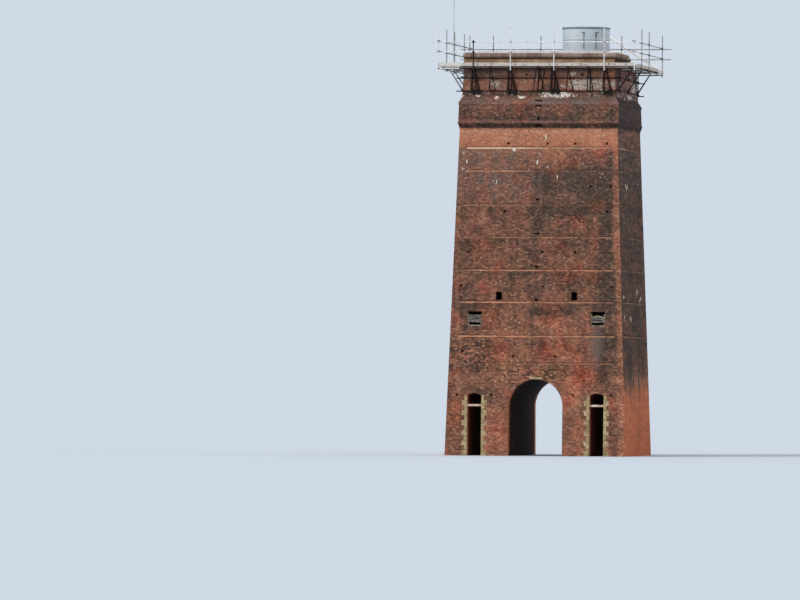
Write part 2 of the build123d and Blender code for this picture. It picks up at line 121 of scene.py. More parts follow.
def linear(code):
    """Turns a colour such as "a06a50" to linear values."""
    parts = [int(code[i : i + 2], 16) / 255 for i in (0, 2, 4)]
    return (*(c / 12.92 if c <= 0.04045 else ((c + 0.055) / 1.055) ** 2.4 for c in parts), 1.0)


def add(tree, kind, inputs=(), stops=(), **settings):
    """Adds a node. Its kind is Blender's name for it, where "ShaderNode" at the start may be left out.

    Inputs are a list in the node's own order, or a dictionary by name. Each is a number, a colour, a socket, or a
    node that stands for the first of its outputs in use. Stops are the places and values of a ramp.
    """
    made = tree.nodes.new(kind if "Node" in kind else "ShaderNode" + kind)
    for name, value in settings.items():
        setattr(made, name, value)
    for place, (at, colour) in enumerate(stops):
        bar = made.color_ramp.elements
        stop = bar[place] if place < len(bar) else bar.new(at)
        stop.position = at
        stop.color = linear(colour) if isinstance(colour, str) else (colour, colour, colour, 1.0)
    in_use = [socket for socket in made.inputs if socket.enabled]
    if isinstance(inputs, dict):
        in_use = [next(socket for socket in in_use if socket.name == name) for name in inputs]
        inputs = inputs.values()
    for socket, value in zip(in_use, inputs):
        if isinstance(value, bpy.types.Node):
            value = next(output for output in value.outputs if output.enabled)
        if isinstance(value, bpy.types.NodeSocket):
            tree.links.new(value, socket)
        elif isinstance(value, str) and socket.type == "RGBA":
            socket.default_value = linear(value)
        else:
            socket.default_value = value
    return made


def blank(name):
    """Makes an empty material, and gives it with its tree."""
    made = bpy.data.materials.new(name)
    made.use_nodes = True
    made.node_tree.nodes.clear()
    return made, made.node_tree


def surface(tree, colour, relief=None, depth=0.0, **fixed):
    """Ends a material: the shader, its bump and the output. Fixed numbers go on the shader's own sockets."""
    inputs = {name.replace("_", " ").title().replace("Ior", "IOR"): value for name, value in fixed.items()}
    if relief is not None:
        inputs["Normal"] = add(tree, "Bump", {"Height": relief, "Strength": 1.0, "Distance": depth})
    add(tree, "OutputMaterial", {"Surface": add(tree, "BsdfPrincipled", {"Base Color": colour, **inputs})})


print("mid grey in linear values:", round(linear("808080")[0], 3))

# %% [markdown]
# ## Light and floor
# The day was bright but hazy. A wide sun stands high on the left, so the narrow right face is in shade, and the
# sky fills the rest. The floor is a wide pale disc. Seen by the camera, sky and floor have the same pale tone.

# %% Sun, sky and floor
SKY_SEEN, SKY_LIGHT, FLOOR_RADIUS = "cfdae6", 0.60, 1800.0
SUN_LIGHT, SUN_WIDTH, SUN_FROM = 1.55, 8, (-0.46, -0.60, 0.655)  # strength, degrees across, direction

sun = bpy.data.objects.new("sun", bpy.data.lights.new("sun", "SUN"))
bpy.context.scene.collection.objects.link(sun)
sun.data.energy, sun.data.angle = SUN_LIGHT, math.radians(SUN_WIDTH)
sun.rotation_euler = Vector(SUN_FROM).to_track_quat("Z", "Y").to_euler()

world = bpy.data.worlds.new("hazy sky")
bpy.context.scene.world = world
world.use_nodes = True
sky = world.node_tree
sky.nodes.clear()
ray = add(sky, "LightPath").outputs
seen = add(sky, "Math", [ray["Is Camera Ray"], ray["Is Glossy Ray"]], operation="MAXIMUM")
seen = add(sky, "Math", [seen, ray["Is Transmission Ray"]], operation="MAXIMUM")
lit = add(sky, "Background", [(1, 1, 1, 1), SKY_LIGHT])
shown = add(sky, "Background", [SKY_SEEN, 1.0])
add(sky, "OutputWorld", {"Surface": add(sky, "MixShader", [seen, lit, shown])})

disc = bmesh.new()
bmesh.ops.create_circle(disc, cap_ends=True, segments=96, radius=FLOOR_RADIUS)
floor_mesh = bpy.data.meshes.new("floor")
disc.to_mesh(floor_mesh)
floor = bpy.data.objects.new("floor", floor_mesh)
bpy.context.scene.collection.objects.link(floor)
floor_paint, tree = blank("pale studio floor")
surface(tree, "d5e0ec", roughness=0.95)
floor_mesh.materials.append(floor_paint)
print("floor radius:", FLOOR_RADIUS, "m")

# %% [markdown]
# ## Weathered red brick
# The walls are hard red bricks laid with their ends outwards, each about 115 by 66 mm, with 10 mm of lime mortar.
# Fired clay differs from brick to brick, from orange to purple. Years of smoke have left soot on it, rain has
# washed the corners and the top of the shaft clean, and lime has bled out of the joints. An image could show this,
# but it would have to be painted for each wall, so the finish is worked out from the place in space instead.
#
# The first step makes a flat plane of each wall, whichever way it faces, and lays the bond of the bricks on it.

# %% The plane of a wall and its bond
LEVEL_FROM = 0.75  # a face counts as level where its normal points up or down by more than this


def masonry(tree, length, course):
    """Reads where a point is on a wall, which way the wall faces, and the tint and joint of its brick."""
    at = SimpleNamespace(place=add(tree, "TexCoord").outputs["Object"])
    at.normal = add(tree, "NewGeometry").outputs["True Normal"]
    at.x, at.y, at.z = add(tree, "SeparateXYZ", [at.place]).outputs
    facing = add(tree, "VectorMath", [at.normal], operation="ABSOLUTE")
    across, deep, upwards = add(tree, "SeparateXYZ", [facing]).outputs
    level = add(tree, "Math", [upwards, LEVEL_FROM], operation="GREATER_THAN")
    at.sideways = add(tree, "Math", [across, deep], operation="GREATER_THAN")
    upright = add(tree, "Math", [1.0, level], operation="SUBTRACT")
    turned = add(tree, "Math", [at.sideways, upright], operation="MULTIPLY")
    at.along = add(tree, "Mix", [turned, at.x, at.y])
    at.flat = add(tree, "CombineXYZ", [at.along, add(tree, "Mix", [level, at.z, at.y])])
    bond = add(tree, "TexBrick", {
        "Vector": at.flat, "Color1": "000000", "Color2": "ffffff", "Mortar": "808080", "Scale": 1.0,
        "Mortar Size": JOINT / 2, "Mortar Smooth": 0.3, "Bias": 0.0, "Brick Width": length, "Row Height": course,
    }, offset=0.5, offset_frequency=2)
    at.tint, at.joint = bond.outputs["Color"], bond.outputs["Fac"]
    return at


print("a brick's end with its joints:", BRICK, "by", COURSE, "m")

# %% [markdown]
# Nothing on an old wall is even, so clouds of noise vary every step, each with the size of a real thing. Soot
# drifts over metres, damp blotches are half a metre wide, and a brick's end has a grain of 67 mm. Real grit is 3 mm
# and would not show, so it is drawn 26 mm wide. Streaks run down the wall, and layers lie along it.

# %% Clouds, and the distance to a corner
CLOUDS = {  # size across and size up, in millimetres, then detail and roughness
    "drifts": (2381, 2381, 4.0, 0.62), "blotches": (476.2, 476.2, 3.0, 0.60), "hues": (1176.5, 1176.5, 4.0, 0.60),
    "specks": (111.11, 111.11, 2.0, 0.50), "grain": (66.667, 66.667, 2.0, 0.70), "grit": (26.316, 26.316, 3.0, 0.70),
    "streaks": (384.6, 4545.5, 3.0, 0.60), "layers": (2222.2, 277.8, 4.0, 0.75),
}


def read_wall(tree):
    """Reads all that the steps below ask about a point of the red walls."""
    at = masonry(tree, BRICK, COURSE)
    at.height = add(tree, "Math", [at.z, TOP], operation="DIVIDE")
    at.wide = add(tree, "Math", [1.0, at.sideways], operation="SUBTRACT")
    at.half = add(tree, "Math", [at.z, -BATTER, BASE_HALF], operation="MULTIPLY_ADD")
    reach = add(tree, "Math", [at.along], operation="ABSOLUTE")
    at.to_corner = add(tree, "Math", [at.half, reach], operation="SUBTRACT")
    at.right_half = add(tree, "MapRange", [at.along, -1.3, 0.3, 0.0, 1.0])
    for name, (across, up, detail, roughness) in CLOUDS.items():
        scaled = add(tree, "VectorMath", [at.place, (1000 / across, 1000 / across, 1000 / up)], operation="MULTIPLY")
        cloud = {"Vector": scaled, "Scale": 1.0, "Detail": detail, "Roughness": roughness}
        setattr(at, name, add(tree, "TexNoise", cloud))
    return at


print("clouds:", list(CLOUDS))

# %% [markdown]
# Much of the weathering follows the height, so it is written as rows of a height in metres and a value. A colour
# ramp holds such a row, from the ground to the coping. Marks that the wall has in one place are spots: where they
# are across and up on the face, their half sizes, and how strong they are.

# %% Rows of heights, and spots


def over_height(rows):
    """Turns rows of a height and a value to the stops of a ramp."""
    return [(z / TOP, value) for z, value in rows]


def spots(tree, at, rows, inner, outer, join="ADD", fade="SMOOTHSTEP"):
    """Joins spots that fade from their strength, at the share inner of their half size, to nothing at outer."""
    total = 0.0
    for across, up, half_across, half_up, strength in rows:
        away = add(tree, "VectorMath", [at.flat, (across, up, 0.0)], operation="SUBTRACT")
        away = add(tree, "VectorMath", [away, (1 / half_across, 1 / half_up, 0.0)], operation="MULTIPLY")
        away = add(tree, "VectorMath", [away], operation="LENGTH")
        spot = add(tree, "MapRange", [away, inner, outer, strength, 0.0], interpolation_type=fade)
        total = add(tree, "Math", [total, spot], operation=join)
    return total


print("a ramp's stop at the top of the shaft:", over_height([(SHAFT_TOP, 0.0)]))

# %% [markdown]
# ### Soot
# Soot is zero on clean brick and one on black. Its height row differs between the two wide faces and the two narrow
# ones, which get less rain and stand in the shade, so their row is partly painted shade. On the wide faces the high
# soot under the corbel and under the deck is partly painted shade too. It is thickest just under each groove, where
# the iron hoop once kept the rain off.

# %% Rows and spots of the soot
# Soot by height on the wide faces; under the corbel and under the deck it is partly painted shade
SOOT_AND_SHADE_WIDE = (
    (0.0, 0.46), (3.0, 0.46), (3.5, 0.28), (4.2, 0.38), (5.2, 0.50), (6.6, 0.60), (7.4, 0.68), (9.4, 0.70),
    (11.3, 0.74), (12.7, 0.72), (13.5, 0.56), (13.82, 0.22), (14.66, 0.16), (14.68, 0.85), (14.86, 0.85),
    (14.94, 0.56), (15.06, 0.71), (15.60, 0.55), (16.02, 0.68), (16.10, 0.74), (16.26, 0.62), (16.36, 0.20),
    (16.80, 0.10), (16.92, 0.16), (17.15, 0.24), (17.38, 0.75),
)
# Soot by height on the narrow faces, which is partly painted shade, since these faces stand in the shade
SOOT_AND_SHADE_NARROW = (
    (0.0, 0.0), (2.3, 0.05), (3.0, 0.36), (3.8, 0.78), (7.0, 0.90), (12.0, 0.86), (13.7, 0.80), (13.9, 0.66),
    (14.66, 0.70), (14.68, 1.10), (16.0, 1.05), (16.3, 0.92), (17.5, 1.0),
)
HOOP_SOOT, HOOP_REACH = 0.20, 0.80

# Spots of the wide faces, and how much soot each adds
PATCHES = (
    (-0.89, 5.90, 0.75, 1.10, -0.12), (1.10, 5.40, 0.80, 1.30, -0.12), (-1.70, 3.90, 0.80, 0.60, -0.25),
    (1.60, 2.60, 0.60, 0.90, -0.40), (-3.70, 2.00, 0.60, 1.20, -0.40), (1.70, 10.80, 1.20, 1.00, -0.16),
    (-2.00, 1.20, 0.70, 1.60, -0.15), (3.00, 4.00, 0.70, 1.60, 0.40), (-0.05, 9.00, 0.24, 5.50, 0.13),
    (0.20, 12.20, 0.90, 0.90, 0.10), (2.40, 12.10, 1.10, 0.90, 0.32), (-2.60, 4.00, 1.10, 0.90, 0.16),
    (-2.20, 12.70, 0.90, 0.80, -0.10), (3.15, 9.00, 0.50, 9.00, 0.30), (0.30, 13.50, 1.70, 0.45, -0.34),
    (0.10, 3.72, 0.40, 0.16, -0.60), (-1.00, 17.08, 0.42, 0.22, -1.30), (-2.80, 17.08, 0.90, 0.24, 0.34),
    (-3.25, 16.60, 0.18, 0.34, -0.50), (-2.40, 16.55, 0.24, 0.28, -0.60), (1.90, 16.60, 1.10, 0.34, -0.80),
    (-2.60, 16.60, 0.40, 0.20, -0.55), (-0.60, 16.60, 0.55, 0.20, -0.45), (3.14, 17.00, 0.36, 0.46, -1.20),
    (-1.20, 16.15, 1.90, 0.10, 0.35), (-2.10, 15.35, 1.00, 0.35, 0.14), (-2.00, 2.80, 1.10, 0.60, 0.16),
    (-3.20, 14.20, 0.40, 0.70, 0.22), (0.00, 15.10, 3.90, 0.14, 0.18), (-0.78, 15.45, 0.60, 0.45, 0.34),
    (0.60, 16.45, 0.55, 0.50, 0.30), (0.10, 17.02, 0.60, 0.25, 0.30), (-3.20, 16.18, 0.45, 0.16, 0.50),
    (3.20, 16.18, 0.50, 0.16, 0.50), (-3.00, 17.00, 0.70, 0.34, 0.24), (1.57, 12.10, 0.60, 0.50, 0.12),
    (2.90, 11.20, 0.60, 0.35, -0.36), (1.20, 10.85, 1.30, 0.26, 0.30), (-3.00, 10.10, 0.90, 0.35, 0.24),
    (0.40, 9.60, 0.90, 0.35, -0.24), (-3.30, 8.00, 0.70, 0.40, -0.30), (-0.05, 8.00, 0.40, 0.35, -0.30),
    (2.65, 8.00, 0.50, 0.40, -0.24), (1.57, 7.50, 0.50, 0.40, 0.24), (0.60, 6.40, 2.00, 0.28, 0.34),
    (-1.66, 5.80, 0.50, 0.35, -0.30), (1.85, 4.75, 0.70, 0.40, 0.30), (0.50, 4.20, 0.50, 0.30, -0.24),
    (1.60, 3.70, 0.60, 0.35, 0.26), (-3.00, 5.30, 0.80, 0.35, -0.26), (-3.30, 15.50, 0.60, 0.50, 0.36),
    (-1.40, 14.00, 1.00, 0.25, -0.24), (1.60, 13.10, 0.60, 0.45, -0.24),
)

# Where sooty and clean bricks alternate sharply
CHEQUERS = ((-2.74, 4.53, 1.30, 0.75, -0.55), (-0.10, 3.62, 2.20, 0.55, -0.55))
print("patches of soot:", len(PATCHES))

# %% [markdown]
# The steps are: the height rows, then the clouds and patches, then the chequers, where a brick's own tint decides,
# and last the corners of the wide faces, which the rain has washed from the band down.

# %% Soot on the walls


def soot_by_height(tree, at):
    wide = add(tree, "ValToRGB", [at.height], over_height(SOOT_AND_SHADE_WIDE))
    # On the narrow faces the lower edge of the soot is ragged: streaks and blotches shift the height there
    ragged = add(tree, "Math", [at.streaks, at.blotches], operation="ADD")
    ragged = add(tree, "MapRange", [ragged, 0.70, 1.30, -0.065, 0.065])
    low = add(tree, "MapRange", [at.z, 6.0, 9.0, 1.0, 0.0])
    ragged = add(tree, "Math", [ragged, low, at.height], operation="MULTIPLY_ADD")
    narrow = add(tree, "ValToRGB", [ragged], over_height(SOOT_AND_SHADE_NARROW))
    under_hoops = [(0.0, 0.0)]
    for z in GROOVES[:7]:
        under_hoops += [(z - HOOP_REACH, 0.0), (z - 0.06, HOOP_SOOT), (z + 0.06, 0.0)]
    hoops = add(tree, "ValToRGB", [at.height], over_height(under_hoops))
    return add(tree, "Math", [add(tree, "Mix", [at.sideways, wide, narrow]), hoops], operation="ADD")


def soot_on(tree, at):
    soot = soot_by_height(tree, at)
    for part, amount in ((at.drifts, 1.4), (at.blotches, 1.0), (at.streaks, 0.8)):
        soot = add(tree, "Math", [part, amount, soot], operation="MULTIPLY_ADD")
    soot = add(tree, "Math", [soot, 1.60], operation="SUBTRACT")
    soot = add(tree, "Math", [spots(tree, at, PATCHES, 0.25, 1.15), at.wide, soot], operation="MULTIPLY_ADD")

    # A brick's own tint decides how sooty it is, much more so in the chequered spots
    sharp = spots(tree, at, CHEQUERS, 0.3, 1.3, "MINIMUM")
    sharp = add(tree, "Math", [sharp, at.wide, -0.14], operation="MULTIPLY_ADD")
    tint = add(tree, "Math", [at.tint, 0.5], operation="SUBTRACT")
    soot = add(tree, "Math", [tint, sharp, soot], operation="MULTIPLY_ADD")

    # The washed corners: a strip with an uneven edge, wider but less clean low on the wall
    lower = add(tree, "MapRange", [at.z, 9.0, 6.0, 0.0, 1.0])
    edge = at.to_corner
    for part, amount in ((at.streaks, 0.5), (lower, -0.07)):
        edge = add(tree, "Math", [part, amount, edge], operation="MULTIPLY_ADD")
    corner = add(tree, "MapRange", [edge, 0.56, 0.42, 0.0, 1.0])
    for mask in (add(tree, "MapRange", [at.z, 14.5, SHAFT_TOP, 1.0, 0.0]), at.wide):
        corner = add(tree, "Math", [corner, mask], operation="MULTIPLY")
    strength = add(tree, "MapRange", [at.right_half, 0.0, 1.0, -0.10, -0.40])
    strength = add(tree, "Math", [lower, 0.12, strength], operation="MULTIPLY_ADD")
    return add(tree, "Math", [corner, strength, soot], operation="MULTIPLY_ADD", use_clamp=True)


print("soot thickens under", len(GROOVES[:7]), "of", len(GROOVES), "grooves")

# %% [markdown]
# ### Fired clay
# Each brick takes a tone from two rows of clay colours, one clean and one sooty, and the mortar lies between. The
# steps from here on give coats: how much, which colour, and how it is laid. All are laid in turn at the end, as a
# wall is weathered. The first two tint whole areas, since every firing of the bricks came out a little different.

# %% Clay, mortar and its tints
CLEAN_CLAY = ((0.0, "864f3f"), (0.25, "9b5e4a"), (0.60, "ad6c52"), (0.88, "b97b60"), (1.0, "c59074"))
SOOTY_CLAY = ((0.0, "3c2d28"), (0.30, "4a3931"), (0.60, "564339"), (0.90, "624d42"), (1.0, "735e51"))
HUES = ((0.32, "ffdad6"), (0.43, "fff6f5"), (0.50, "fffdfa"), (0.58, "f7f7ef"), (0.68, "e5eade"))
RED_STRENGTH = 1.4
REDS = (
    (-1.84, 4.71, 0.55, 0.60), (0.70, 6.27, 0.80, 0.70), (-2.30, 6.30, 0.80, 0.70), (0.50, 4.70, 1.00, 0.45),
    (2.10, 3.45, 1.00, 0.60), (-3.60, 1.90, 0.60, 0.90), (1.10, 9.45, 0.45, 0.40), (1.80, 10.60, 0.50, 0.40),
    (1.30, 8.05, 0.80, 0.45), (-2.50, 9.40, 0.70, 0.50), (-2.70, 11.70, 0.70, 0.40), (1.60, 13.10, 0.60, 0.45),
    (2.80, 11.20, 0.60, 0.35), (2.60, 8.00, 0.50, 0.40), (3.10, 16.95, 0.40, 0.40),
)


def fired_clay(tree, at):
    """Gives the wall under its soot, and the coats that tint it."""
    soot = soot_on(tree, at)
    clean = add(tree, "ValToRGB", [at.tint], CLEAN_CLAY)
    sooty = add(tree, "ValToRGB", [at.tint], SOOTY_CLAY)
    clay = add(tree, "Mix", [soot, clean, sooty], data_type="RGBA")
    mortar = add(tree, "Mix", [soot, "b08c72", "564840"], data_type="RGBA")
    wall = add(tree, "Mix", [at.joint, clay, mortar], data_type="RGBA")
    hue = add(tree, "ValToRGB", [at.hues], HUES)
    red = spots(tree, at, [(*where, RED_STRENGTH) for where in REDS], 0.0, 1.4, "MAXIMUM")
    red = add(tree, "Math", [at.blotches, red], operation="MULTIPLY")
    red = add(tree, "Math", [red, at.wide], operation="MULTIPLY", use_clamp=True)
    return wall, [(1.0, hue, "MULTIPLY"), (red, "ffd0c4", "MULTIPLY")]


print("spots of redder brick:", len(REDS))

# %% [markdown]
# ### Rain
# Rain has bleached the brick under the band and on the head, and the ledge is grey with lime. The foot of the
# narrow faces has never been sooty, and is bright orange.

# %% Bleached brick and the orange foot
BLEACH = (
    (0.0, 0.0), (11.0, 0.0), (11.6, 0.15), (13.72, 0.18), (13.84, 0.34), (14.5, 0.56), (14.67, 0.0), (14.86, 0.0),
    (14.92, 0.40), (15.0, 0.0), (15.66, 0.0), (15.74, 0.36), (16.02, 0.38), (16.08, 0.08), (16.30, 0.08),
    (16.40, 0.22), (16.7, 0.20), (17.2, 0.30), (17.42, 0.10), (17.50, 0.80),
)
BLEACHED = (
    (0.0, "94827b"), (13.74, "94827b"), (13.84, "cb8460"), (14.67, "d69a7a"), (14.86, "95686a"), (15.76, "93807e"),
    (16.0, "85756f"), (16.1, "b98d7c"), (16.8, "a88a7b"), (17.4, "94857a"), (17.5, "ad9471"),
)


def rain(tree, at):
    wash = add(tree, "ValToRGB", [at.height], over_height(BLEACH))
    uneven = add(tree, "MapRange", [at.blotches, 0.35, 0.65, 0.45, 1.25])
    streaked = add(tree, "MapRange", [at.streaks, 0.36, 0.64, 0.55, 1.40])
    # Between 11.0 and 13.8 m the right half stays dark, so three quarters of the wash are left out there
    sheltered = add(tree, "Math", [at.z, 12.4, 1.36], operation="COMPARE")
    sheltered = add(tree, "Math", [sheltered, at.right_half], operation="MULTIPLY")
    sheltered = add(tree, "Math", [sheltered, -0.75, 1.0], operation="MULTIPLY_ADD")
    for mask in (at.wide, uneven, streaked, sheltered):
        wash = add(tree, "Math", [wash, mask], operation="MULTIPLY")
    bleached = add(tree, "ValToRGB", [at.height], over_height(BLEACHED))

    # The orange foot ends in streaks at about 3 m
    foot = add(tree, "Math", [at.streaks, 2.4, at.z], operation="MULTIPLY_ADD")
    foot = add(tree, "MapRange", [foot, 3.7, 4.4, 0.50, 0.0])
    foot = add(tree, "Math", [foot, at.sideways], operation="MULTIPLY")
    return [(wash, bleached, "MIX"), (foot, "e0794c", "MIX")]


print("heights of the bleaching:", len(BLEACH))

# %% [markdown]
# ### Painted light and shade
# The corbel under the band is painted nearly black as shade under the band, and so is the whole band on the narrow
# faces, which stand in the shade and where layers of soot also lie along the wall. The narrow faces are painted
# darker above their foot as shade, the wall just under the deck is painted dark as the deck's shadow, and the neck
# above that is painted lighter. Every brick also has a speckle of light and dark, from its rough end.

# %% Painted shade and light, layers and speckle
# Painted shade and light by height on the wide faces: dark under the corbel and just under the deck, lighter on the
# neck
LIGHT_AND_SHADE_WIDE = (
    (0.0, 1.0), (14.60, 1.0), (14.70, 0.50), (14.82, 0.52), (14.90, 1.0), (15.78, 0.98), (15.84, 0.88), (16.0, 0.88),
    (16.07, 0.92), (16.28, 0.98), (16.36, 1.26), (17.12, 1.16), (17.22, 0.50), (17.39, 0.50), (17.46, 0.94),
)
# The same on the narrow faces, which stand in the shade: darker above the foot, darkest at the corbel, lighter on the
# neck
LIGHT_AND_SHADE_NARROW = (
    (0.0, 1.0), (3.0, 1.0), (4.2, 0.72), (7.0, 0.64), (11.0, 0.63), (13.5, 0.68), (14.2, 0.95), (14.58, 0.90),
    (14.70, 0.42), (14.85, 0.48), (15.0, 0.64), (15.6, 0.64), (15.9, 0.56), (16.1, 1.25), (17.0, 1.20),
    (17.4, 0.80),
)


def painted_light_and_shade(tree, at):
    wide = add(tree, "ValToRGB", [at.height], over_height(LIGHT_AND_SHADE_WIDE))
    narrow = add(tree, "ValToRGB", [at.height], over_height(LIGHT_AND_SHADE_NARROW))
    dark = add(tree, "Mix", [at.sideways, wide, narrow])
    speckle = add(tree, "MapRange", [at.grain, 0.30, 0.70, 0.76, 1.30])
    # Painted light: the right half of the neck is lifted a little above 16.4 m
    painted_light_on_neck = add(tree, "MapRange", [at.z, 16.30, 16.40, 0.0, 0.16])
    painted_light_on_neck = add(tree, "Math", [at.right_half, painted_light_on_neck, 1.0], operation="MULTIPLY_ADD")
    # Layers lie along the narrow faces, above their orange foot
    layers = add(tree, "MapRange", [at.layers, 0.34, 0.66, 0.48, 1.72])
    stays = add(tree, "MapRange", [at.z, 3.0, 5.0, 0.25, 1.0])
    stays = add(tree, "Math", [stays, at.sideways], operation="MULTIPLY")
    for mask in (speckle, painted_light_on_neck, add(tree, "Mix", [stays, 1.0, layers])):
        dark = add(tree, "Math", [dark, mask], operation="MULTIPLY")

    # The narrow faces get a painted tint of shade: a little yellow below the band, and a little purple from there up
    above = add(tree, "MapRange", [at.z, 14.5, 14.8, 0.0, 1.0])
    cast = add(tree, "Mix", [above, "fffaf2", "fbe6f6"], data_type="RGBA")
    return [(at.sideways, cast, "MULTIPLY"), (1.0, dark, "MULTIPLY")]


print("darkest on a wide and a narrow face:", *(min(value for z, value in row) for row in (LIGHT_AND_SHADE_WIDE, LIGHT_AND_SHADE_NARROW)))

# %% [markdown]
# ### Lime
# Lime has bled out of the joints as white specks. It lies as crusts on the neck, as a grey run below a firing hole,
# and in a line in each groove of the hoops, which is stronger on one half of a face than on the other. That line is
# also a painted highlight, for the sunlit lower lip of the groove.

# %% Specks, crusts, a run, and lines of lime and painted highlight
SPECKS = (
    (0.0, 0.30), (11.0, 0.32), (12.2, 0.38), (13.7, 0.38), (14.0, 0.28), (16.03, 0.28), (16.10, 0.45), (16.75, 0.45),
    (17.0, 0.43), (17.25, 0.32), (18.0, 0.30),
)
CRUSTS = (
    (-1.98, 16.62, 0.20, 0.16), (0.42, 16.15, 0.42, 0.13), (1.04, 16.15, 0.50, 0.14), (2.10, 16.62, 0.84, 0.30),
    (3.33, 16.62, 0.13, 0.20), (-0.80, 16.05, 0.20, 0.07), (-1.90, 16.02, 0.12, 0.06), (1.80, 16.45, 0.34, 0.07),
    (2.90, 16.32, 0.20, 0.10), (1.10, 16.55, 0.13, 0.08), (-2.75, 16.10, 0.12, 0.08), (-0.10, 16.85, 0.12, 0.06),
    (1.50, 17.10, 0.16, 0.08),
)
CRUST_LIME = ((0.0, "c39a84"), (0.30, "e3d0ba"), (1.0, "fbf5ea"))
GREY_RUN = ((2.72, 4.95, 0.40, 1.30, 0.70),)

# Lime and painted highlight in each groove on the left and right half of a face, from the lowest groove up, and where
# it lies
GROOVE_LIME_AND_HIGHLIGHT = (
    (0.10, 0.20), (0.88, 0.48), (0.68, 0.42), (0.52, 0.60), (0.30, 0.36), (0.36, 0.10), (0.55, 0.10), (1.00, 0.24),
)
LINE_BELOW, LINE_HALF, LINE_FROM_CORNER = 0.028, 0.030, 0.35


def lime_and_highlight_in_grooves(tree, at):
    line = 0.0
    for z, (left, right) in zip(GROOVES, GROOVE_LIME_AND_HIGHLIGHT):
        near = add(tree, "Math", [at.z, z - LINE_BELOW, LINE_HALF], operation="COMPARE")
        amount = add(tree, "MapRange", [at.right_half, 0.0, 1.0, left, right])
        line = add(tree, "Math", [near, amount, line], operation="MULTIPLY_ADD")
    inset = add(tree, "Math", [at.to_corner, LINE_FROM_CORNER], operation="GREATER_THAN")
    patchy = add(tree, "MapRange", [at.blotches, 0.36, 0.56, 0.35, 1.45])
    for mask in (inset, patchy, add(tree, "MapRange", [at.sideways, 0.0, 1.0, 1.0, 0.45])):
        line = add(tree, "Math", [line, mask], operation="MULTIPLY")
    highest = add(tree, "MapRange", [at.z, 13.0, 13.1, 0.0, 1.0])
    return [(line, add(tree, "Mix", [highest, "d69a78", "e9caab"], data_type="RGBA"), "MIX")]


def lime_on(tree, at):
    specks = add(tree, "ValToRGB", [at.height], over_height(SPECKS))
    for part, amount in ((at.specks, 1.0), (at.blotches, 0.55), (at.sideways, 0.05)):
        specks = add(tree, "Math", [part, amount, specks], operation="MULTIPLY_ADD")
    specks = add(tree, "MapRange", [specks, 1.34, 1.46, 0.0, 0.85])

    # Crusts have a crumbly edge, because specks and grain decide where a spot ends
    crust = spots(tree, at, [(*where, 1.0) for where in CRUSTS], 0.6, 1.6, "MAXIMUM", "LINEAR")
    crust = add(tree, "Math", [at.specks, crust], operation="MULTIPLY")
    for part, amount in ((at.grain, 1.30), (at.sideways, -0.08)):
        crust = add(tree, "Math", [part, amount, crust], operation="MULTIPLY_ADD")
    crust = add(tree, "MapRange", [crust, 0.97, 1.06, 0.0, 0.97])
    white = add(tree, "ValToRGB", [at.tint], CRUST_LIME)
    run = add(tree, "Math", [spots(tree, at, GREY_RUN, 0.0, 1.15), at.wide], operation="MULTIPLY")
    return [(specks, "cdbfb0", "MIX"), (crust, white, "MIX"), (run, "75635d", "MIX")] + lime_and_highlight_in_grooves(tree, at)


print("crusts on the neck:", len(CRUSTS))

# %% [markdown]
# ### Smoke and painted shade, and the whole finish
# Smoke has blackened what lies behind the outer faces, less so in the draw passages; this dark is also painted shade,
# for the tunnel and openings that lie in shade. Then the coats are laid one after another. The joints lie back and
# the grit stands out, which gives the rough, dull surface of old brick.

# %% The finished brick
WALL_DEPTH, PASSAGE_AT, PASSAGE_HALF, PASSAGE_TOP = 0.42, 2.76, 0.36, 3.0


def smoke_and_painted_shade(tree, at):
    x, y = (add(tree, "Math", [distance], operation="ABSOLUTE") for distance in (at.x, at.y))
    out = add(tree, "Math", [x, y], operation="MAXIMUM")
    behind = add(tree, "Math", [at.half, out], operation="SUBTRACT")
    inside = add(tree, "MapRange", [behind, WALL_DEPTH, WALL_DEPTH + 0.06, 0.0, 0.95])
    below_neck = add(tree, "Math", [at.z, 14.6], operation="LESS_THAN")
    inside = add(tree, "Math", [inside, below_neck], operation="MULTIPLY")
    in_passage = add(tree, "Math", [x, PASSAGE_AT, PASSAGE_HALF], operation="COMPARE")
    low_down = add(tree, "Math", [at.z, PASSAGE_TOP], operation="LESS_THAN")
    in_passage = add(tree, "Math", [in_passage, low_down], operation="MULTIPLY")
    # Soot and painted shade behind the outer faces: nearly black in the tunnel, dark red in the draw passages
    return [(inside, add(tree, "Mix", [in_passage, "160403", "6a3527"], data_type="RGBA"), "MIX")]


def red_brick(name):
    made, tree = blank(name)
    at = read_wall(tree)
    wall, coats = fired_clay(tree, at)
    for step in (rain, painted_light_and_shade, lime_on, smoke_and_painted_shade):
        coats += step(tree, at)
    for amount, colour, blend in coats:
        wall = add(tree, "Mix", [amount, wall, colour], data_type="RGBA", blend_type=blend)
    relief = 1.0
    for part, height in ((at.joint, -0.8), (at.grit, 0.5), (at.tint, 0.3)):
        relief = add(tree, "Math", [part, height, relief], operation="MULTIPLY_ADD")
    surface(tree, wall, relief, 0.005, roughness=0.92, specular_ior_level=0.25)
    return made


brick_walls = red_brick("weathered red brick, ends outwards")
finish_of = {"red_brick": brick_walls}
print("nodes in the finish:", len(brick_walls.node_tree.nodes))

# %% [markdown]
# ## Other masonry
# Buff bricks frame the draw openings and the firing holes, where heat would crack red ones. The coping is a
# moulded brick roll. The shafts are lined with firebrick, which smoke has darkened, and the floor round their
# mouths is paved. All use the same bond pattern with other sizes and colours.

